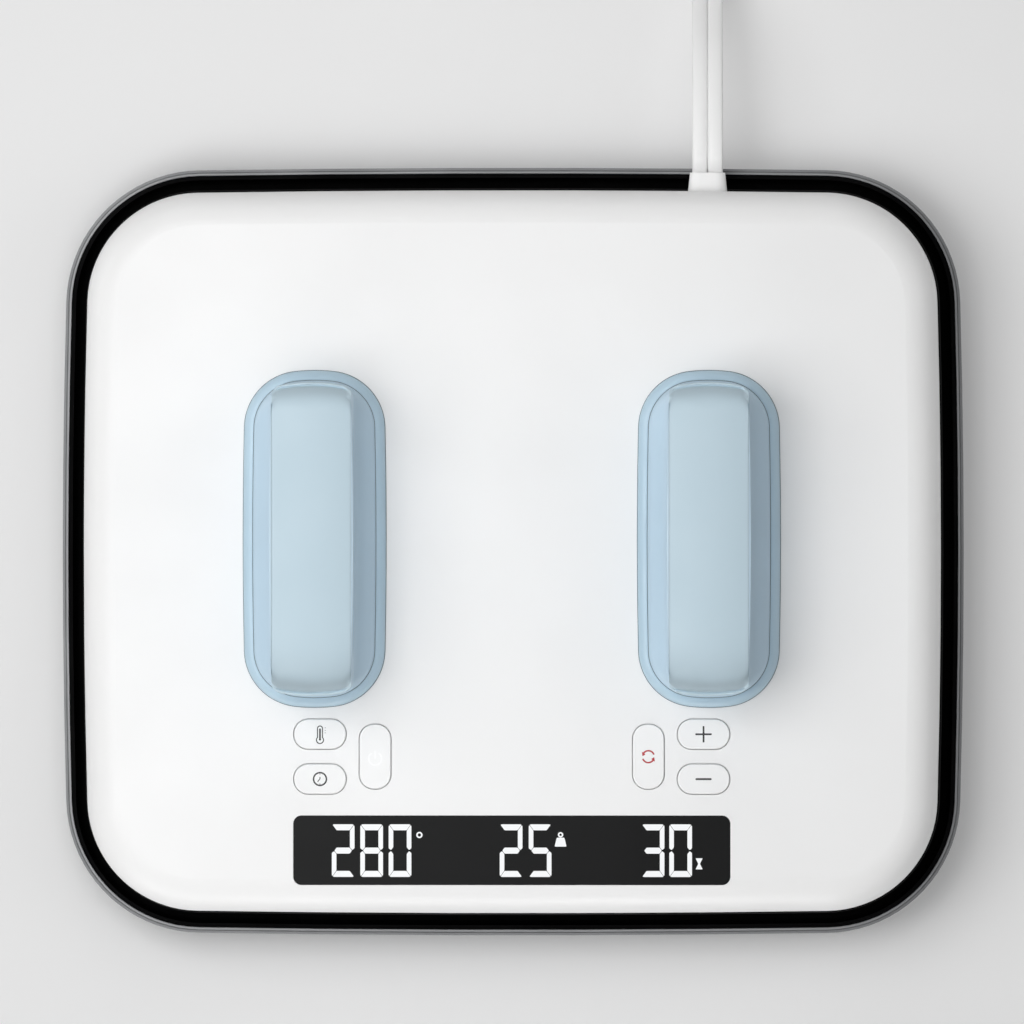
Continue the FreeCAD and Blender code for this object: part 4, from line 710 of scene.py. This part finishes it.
def slab(name, top, bottom, finish):
    """Closed piece between two grids of points with the same rows and columns. The first grid is its upper
    side."""
    rows, columns = top.shape[:2]
    upper = np.arange(rows * columns).reshape(rows, columns)
    over = np.stack([upper[:-1, :-1], upper[:-1, 1:], upper[1:, 1:], upper[1:, :-1]], -1).reshape(-1, 4)
    rim = np.concatenate([upper[0], upper[1:, -1], upper[-1, -2::-1], upper[-2:0:-1, 0]])
    under = rim + rows * columns
    walls = np.stack([np.roll(rim, -1), rim, under, np.roll(under, -1)], 1)
    points = np.concatenate([top.reshape(-1, 3), bottom.reshape(-1, 3)])
    faces = np.concatenate([over, over[:, ::-1] + rows * columns, walls]).tolist()
    return new_piece(name, points, faces, finish, smooth=True, crease=50)


def bell(d, high, at, wide):
    """Bell curve high e^(-((d - at) / wide)^2)."""
    return high * np.exp(-(((d - at) / wide) ** 2))


def grip_strap(name, node):
    """Strap over a grip. Its upper side lies (crown^2 + roll^2)^(1/2) below the top. Crown is
    C - (C^2 - x^2)^(1/2), roll is R - (R^2 - (R - d)^2)^(1/2), and d is the distance from the bowed end,
    held between the lip's width and R. Bell curves along d cut a valley inside the lip, raise the lip and
    turn its edge down. The lower side follows the grip's seat. More bell curves set the shade painted on
    the ends, inside the lip: one at the rear, and a narrow and a wide one at the front."""
    low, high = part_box(node)
    middle, half, top = (low + high) / 2 / MM, (high - low) / 2 / MM, high.z / MM
    x = half.x * np.sin(np.linspace(-math.pi / 2, math.pi / 2, STRAP_COLUMNS))[None, :]
    round_from = half.x + STRAP_WALL - STRAP_CORNER_R
    past = np.clip(np.abs(x) - round_from, 0, None)
    end = half.y - x**2 / (2 * GRIP_END_R) - STRAP_CORNER_R + np.sqrt(STRAP_CORNER_R**2 - past**2)
    rear = end - np.concatenate([LIP_ROWS, ROLL_ROWS])[:, None]
    y = np.concatenate([rear, rear[-1] * MIDDLE_ROWS[:, None], -rear[::-1]])
    d = end - np.abs(y)
    inward = GRIP_ROLL_R - np.clip(d, LIP_W, GRIP_ROLL_R)
    roll = GRIP_ROLL_R - np.sqrt(GRIP_ROLL_R**2 - inward**2)
    fall = np.hypot(GRIP_CROWN_R - np.sqrt(GRIP_CROWN_R**2 - x**2), roll)
    fall += bell(d, *VALLEY) - bell(d, *RAISED_LIP)
    fall += bell(d, *LIP_EDGE)
    seat_r = GRIP_ROLL_R - STRAP_T
    along = np.abs(y) - half.y + GRIP_ROLL_R
    seat_crown = GRIP_CROWN_R - np.sqrt((GRIP_CROWN_R - STRAP_T) ** 2 - x**2)
    seat = np.maximum(seat_crown, GRIP_ROLL_R - np.sqrt(seat_r**2 - np.clip(along, 0, seat_r) ** 2))
    seat = np.where(along > seat_r, 2 * half.z, seat)
    fall = np.minimum(fall, seat - STRAP_LEAST_T)
    x, y = np.broadcast_to(x, y.shape) + middle.x, y + middle.y
    piece = slab(name, np.stack([x, y, top - fall], -1) * MM, np.stack([x, y, top - seat], -1) * MM, pad_blue)
    # Painted shade on the rolled ends: how much darker each point is coloured, at the rear and at the front.
    front_end_shade = bell(d, *FRONT_END_SHADE) + bell(d, *FRONT_WIDE_END_SHADE)
    painted_shade_share = np.where(y > middle.y, bell(d, *REAR_END_SHADE), front_end_shade) * np.clip((d - LIP_W) / END_SHADE_FADE, 0, 1)
    painted_end_shade = np.tile(painted_shade_share.ravel(), 2)
    piece.data.attributes.new("painted_end_shade", "FLOAT", "POINT").data.foreach_set("value", painted_end_shade)
    return piece


for side in ("left", "right"):
    strap_piece = grip_strap("grip_strap_" + side, "handle_pad_" + side)
    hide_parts("handle_pad_" + side)
    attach(strap_piece, "press")

# Cord boot.
# Soft white sleeve that fills the gap in the cover's rear edge and tapers on to the lead.
boot_white = moulded("boot_white", (0.9, 0.9, 0.898), 0.42, drift=0.01, grain=0.0007, depth=0.000005)
dress(boot_white, "cord_boot")

# Mains lead.
# Flat two-core lead in soft white plastic with a groove between its cores. It leaves the boot level, falls to
# the table, runs back and is wound in two layers under a tie. Its last run goes to the plug.
LEAD_X = 74.2
LEAD_W = 11.7
LEAD_T = 5.9
LAY_LOW = 3.2
LAY_HIGH = 9.7
COIL_MIDDLE = (2.2, 304.0)
COIL_R = 72.0
COIL_PITCH = 12.3
COIL_TURNS = 4.25
POINTS_PER_TURN = 16
WIDEN = 1 / 0.981  # On a turn the curve runs inside its points, at 0.981 of their radius.
TIE_LIFT = 0.8
fall = [(144.156, 46.0), (166.456, 46.0), (190.0, 37.8), (210.8, 21.2), (234.2, 8.0), (259.4, 3.9),
        (281.7, LAY_LOW)]
route = [(LEAD_X, y, z) for y, z in fall]


def eased(share):
    """Smooth step from 0 to 1, flat at both ends."""
    share = min(1.0, max(0.0, share))
    return (1 - math.cos(math.pi * share)) / 2


def coil_radius(turn):
    """The coil tightens by one pitch in each front half turn for two turns, then widens in the same way."""
    tight = sum(eased(2 * (turn - start)) for start in (0.5, 1.5))
    wide = sum(eased(2 * (turn - start)) for start in (2.5, 3.5))
    return COIL_R - COIL_PITCH * (tight - wide)


# The lead climbs to the upper layer in the half turn after its second, and over the tie's strap at each turn.
for step in range(int(COIL_TURNS * POINTS_PER_TURN)):
    turn = step / POINTS_PER_TURN
    angle = 2 * math.pi * turn
    r = coil_radius(turn) * WIDEN
    z = LAY_LOW + (LAY_HIGH - LAY_LOW) * eased((turn - 2) * 2) + TIE_LIFT * max(0.0, -math.cos(angle)) ** 4
    route.append((COIL_MIDDLE[0] + r * math.cos(angle), COIL_MIDDLE[1] + r * math.sin(angle), z))
route += [(2.2, 377.0, LAY_HIGH), (-29.8, 376.4, LAY_HIGH), (-61.8, 372.0, 8.6), (-92.8, 361.0, 8.5)]


def spline_line(points, per_span):
    """Points along the smooth NURBS curve that the route steers."""
    curve = bpy.data.curves.new("route", "CURVE")
    curve.dimensions = "3D"
    spline = curve.splines.new("NURBS")
    spline.points.add(len(points) - 1)
    for point, (x, y, z) in zip(spline.points, points):
        point.co = (x * MM, y * MM, z * MM, 1)
    spline.order_u = 3
    spline.use_endpoint_u = True
    spline.resolution_u = per_span
    holder = bpy.data.objects.new("route", curve)
    mesh = bpy.data.meshes.new_from_object(holder)
    line = mesh_points(mesh)
    bpy.data.objects.remove(holder)
    bpy.data.curves.remove(curve)
    bpy.data.meshes.remove(mesh)
    return line


def twin_section():
    """Section of the lead as (across, up): two cores side by side, each a superellipse with flattened faces,
    x = a sgn(cos t) |cos t|^k and y = b sgn(sin t) |sin t|^k, joined by a web at the bottom of the groove."""
    half_w, half_t, k, web = LEAD_W / 4, LEAD_T / 2, 0.5, 0.38
    notch = math.radians(24)
    t = np.linspace(-math.pi + notch, math.pi - notch, 21)
    core = np.stack([half_w + half_w * np.sign(np.cos(t)) * np.abs(np.cos(t)) ** k,
                     half_t * np.sign(np.sin(t)) * np.abs(np.sin(t)) ** k], 1)
    return np.concatenate([core, [[0, half_t * web]], -core, [[0, -half_t * web]]])


def swept(name, line, section, finish):
    """Tube: the section stands square to the line at each of its points, level across, and both ends are
    closed."""
    along = np.gradient(line, axis=0)
    along /= np.linalg.norm(along, axis=1)[:, None]
    across = np.cross(along, (0, 0, 1))
    across /= np.linalg.norm(across, axis=1)[:, None]
    up = np.cross(across, along)
    section = section * MM
    points = line[:, None] + section[None, :, :1] * across[:, None] + section[None, :, 1:] * up[:, None]
    return grid_piece(name, points, finish)


def grid_piece(name, points, finish):
    """Closed tube over rows of points. Each row is one ring, and a middle point closes each end."""
    rows, columns = points.shape[:2]
    ends = points[[0, -1]].mean(axis=1)
    index = np.arange(rows * columns).reshape(rows, columns)
    right = np.roll(index, -1, axis=1)
    quads = np.stack([index[:-1], right[:-1], right[1:], index[1:]], -1).reshape(-1, 4)
    first, last = rows * columns, rows * columns + 1
    near = np.stack([right[0], index[0], np.full(columns, first)], -1)
    far = np.stack([index[-1], right[-1], np.full(columns, last)], -1)
    faces = quads.tolist() + near.tolist() + far.tolist()
    return new_piece(name, np.concatenate([points.reshape(-1, 3), ends]), faces, finish, smooth=True)


cord_white = moulded("cord_white", (0.92, 0.92, 0.918), 0.4, drift=0.015, patch=0.03, grain=0.0012,
                     depth=0.00001, specular=0.4)
lead_line = spline_line(route, 6)
lead = swept("mains_lead", lead_line, twin_section(), cord_white)
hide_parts("cord_stretch", "cord_coil", "cord_tail")

# Coil tie.
# A woven white strap, once round the coil's turns.
# Its last stretch laps over its first and holds by its hooks.
TIE_T = 0.8
TIE_LAP = 16.0
TIE_STEP = 4.0
TIE_CLEAR = 0.05
TIE_SQUARE = 8
TIE_RINGS = 160
TIE_COLUMNS = 20


def strap(name, finish):
    """Strap round the coil. Its middle line is |x/a|^8 + |z/b|^8 = 1, so in polar form its radius is
    (|cos t/a|^8 + |sin t/b|^8)^(-1/8). It is walked at an even pace from the top, and near the end of the
    lap it steps out by its own thickness. The strap's run and width go with each point for the weave."""
    low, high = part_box("cord_tie")
    middle, half = (low + high) / 2 / MM, (high - low) / 2 / MM
    t = np.radians(np.linspace(90, 450, 1441))
    a, b = half.x - TIE_T / 2, half.z - TIE_T / 2
    reach = (np.abs(np.cos(t) / a) ** TIE_SQUARE + np.abs(np.sin(t) / b) ** TIE_SQUARE) ** (-1 / TIE_SQUARE)
    loop = np.stack([reach * np.cos(t), np.zeros_like(t), reach * np.sin(t)], 1)
    pace = np.append(0, np.cumsum(np.linalg.norm(np.diff(loop, axis=0), axis=1)))
    run = np.linspace(0, pace[-1] + TIE_LAP, TIE_RINGS)
    line = np.stack([np.interp(run % pace[-1], pace, loop[:, axis]) for axis in range(3)], 1)
    along = np.gradient(line, axis=0)
    out = np.cross(along / np.linalg.norm(along, axis=1)[:, None], (0, 1, 0))
    step = np.clip((run - pace[-1] + TIE_STEP) / TIE_STEP, 0, 1)
    line += out * (step**2 * (3 - 2 * step) * (TIE_T + TIE_CLEAR))[:, None]
    t = np.linspace(0, 2 * math.pi, TIE_COLUMNS, endpoint=False)
    wide = half.y * np.sign(np.cos(t)) * np.abs(np.cos(t)) ** 0.3
    thick = TIE_T / 2 * np.sign(np.sin(t)) * np.abs(np.sin(t)) ** 0.6
    points = line[:, None] + out[:, None] * thick[None, :, None] + wide[None, :, None] * np.array([0, 1, 0])
    piece = grid_piece(name, (points + middle) * MM, finish)
    weave = np.zeros((TIE_RINGS * TIE_COLUMNS + 2, 3))
    weave[:-2, 0] = np.repeat(run, TIE_COLUMNS) * MM
    weave[:-2, 1] = np.tile(wide, TIE_RINGS) * MM
    piece.data.attributes.new("weave_run", "FLOAT_VECTOR", "POINT").data.foreach_set("vector", weave.ravel())
    return piece


tie_weave = woven("tie_weave", (0.62, 0.63, 0.64), (0.84, 0.85, 0.86), 0.0009, source="weave_run")
tie = strap("coil_tie", tie_weave)
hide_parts("cord_tie")
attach(tie, "base")

# Plug.
# Soft white body moulded on to the lead's end, with two nickel-plated brass blades.
plug_white = moulded("plug_white", (0.86, 0.86, 0.858), 0.42, drift=0.015, grain=0.0007, depth=0.00001)
dress(plug_white, "plug_body")
dress(drawn_metal("nickel_blade", (0.76, 0.73, 0.66), 0.25, length=0.01), "plug_blades")

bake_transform(lead)


# Studio.
# A pale floor, soft lamps above and low down, and dim even light from all round.
# A long lens looks down from high above the press.
FLOOR_R = 30.0
FLOOR_Z = -0.0002
FLOOR_LIFT = 0.12
WORLD_LIGHT = 0.215
WORLD_SHOWN = 0.6
LAMP_AIM = Vector((0, 0, 0.06))


def seen(tree, unseen, shown):
    """Strength that is shown to the camera, to reflections and through clear pieces, and unseen for other
    light."""
    path = tree.nodes.new("ShaderNodeLightPath")
    looks = [path.outputs[name] for name in ("Is Camera Ray", "Is Glossy Ray", "Is Transmission Ray")]
    for _ in range(2):
        most = tree.nodes.new("ShaderNodeMath")
        most.operation = "MAXIMUM"
        tree.links.new(looks.pop(), most.inputs[0])
        tree.links.new(looks.pop(), most.inputs[1])
        looks.append(most.outputs[0])
    return spread(tree, looks[0], unseen, shown, 0, 1)


def studio_floor():
    """Flat disc just under the feet, far wider than any view. It comes with the flag that keeps the low lamps
    off it, so that it stays even."""
    edge = arc(0, 0, FLOOR_R, count=97)
    paint = moulded("floor_paint", (0.8, 0.8, 0.8), 0.9, drift=0.005, patch=0.5, grain=0.002, depth=0.00001,
                    specular=0.1)
    shader = paint.node_tree.nodes["Principled BSDF"]
    shader.inputs["Emission Color"].default_value = (1, 1, 1, 1)
    paint.node_tree.links.new(seen(paint.node_tree, 0, FLOOR_LIFT), shader.inputs["Emission Strength"])
    points = np.column_stack([edge, np.full(len(edge), FLOOR_Z)])
    piece = new_piece("floor", points, [list(range(len(edge)))], paint)
    piece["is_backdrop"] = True
    flag = bpy.data.collections.new("floor_flag")
    flag.objects.link(piece)
    flag.collection_objects[0].light_linking.link_state = "EXCLUDE"
    return flag


def soft_lamp(name, turn, rise, away, side, power, flag=None):
    """Square area lamp that faces the press. Turn is its bearing from +X and rise its height, both in
    degrees. The camera doesn't see it. A flag keeps its light off the floor."""
    turn, rise = math.radians(turn), math.radians(rise)
    offset = Vector((math.cos(rise) * math.cos(turn), math.cos(rise) * math.sin(turn), math.sin(rise))) * away
    lamp = bpy.data.lights.new(name, "AREA")
    lamp.shape = "SQUARE"
    lamp.size = side
    lamp.energy = power
    holder = bpy.data.objects.new(name, lamp)
    holder.location = offset + LAMP_AIM
    holder.rotation_mode = "QUATERNION"
    holder.rotation_quaternion = (-offset).to_track_quat("-Z", "Y")
    holder.visible_camera = False
    holder.light_linking.receiver_collection = flag
    bpy.context.scene.collection.objects.link(holder)


floor_flag = studio_floor()
soft_lamp("top_lamp", turn=180, rise=80, away=0.9, side=0.5, power=2.27)
soft_lamp("left_lamp", turn=180, rise=65, away=0.9, side=0.6, power=2.55)
soft_lamp("rear_top_lamp", turn=120, rise=75, away=1.2, side=0.8, power=0.95)
soft_lamp("right_lamp", turn=0, rise=35, away=1.6, side=1.4, power=3.5)
soft_lamp("rear_lamp", turn=90, rise=30, away=1.2, side=0.8, power=1.3)
soft_lamp("low_left_lamp", turn=160, rise=8, away=0.9, side=0.4, power=1.05, flag=floor_flag)
soft_lamp("low_front_lamp", turn=270, rise=5, away=0.8, side=0.3, power=1.35, flag=floor_flag)
soft_lamp("low_corner_lamp", turn=240, rise=8, away=0.9, side=0.4, power=1.1, flag=floor_flag)
world = bpy.data.worlds.new("studio")
world.use_nodes = True
bpy.context.scene.world = world
world_tree = world.node_tree
backdrop = world_tree.nodes["Background"]
backdrop.inputs["Color"].default_value = (1.0, 1.0, 1.0, 1)
world_tree.links.new(seen(world_tree, WORLD_LIGHT, WORLD_SHOWN), backdrop.inputs["Strength"])

LENS_PLACE = Vector((0.075, 0.0151, 5.6))
LENS_AIM = Vector((0.0001, 0.0151, 0.068))
VIEW_W = 0.388
camera_data = bpy.data.cameras.new("camera")
camera_data.sensor_width = 36.0
camera_data.lens = camera_data.sensor_width * (LENS_PLACE.z - LENS_AIM.z) / VIEW_W
camera_data.clip_end = 100.0
camera = bpy.data.objects.new("camera", camera_data)
camera.location = LENS_PLACE
camera.rotation_euler = (0, math.atan2(LENS_PLACE.x - LENS_AIM.x, LENS_PLACE.z - LENS_AIM.z), 0)
bpy.context.scene.collection.objects.link(camera)
bpy.context.scene.camera = camera
bpy.context.scene.view_settings.view_transform = "Standard"

low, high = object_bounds()
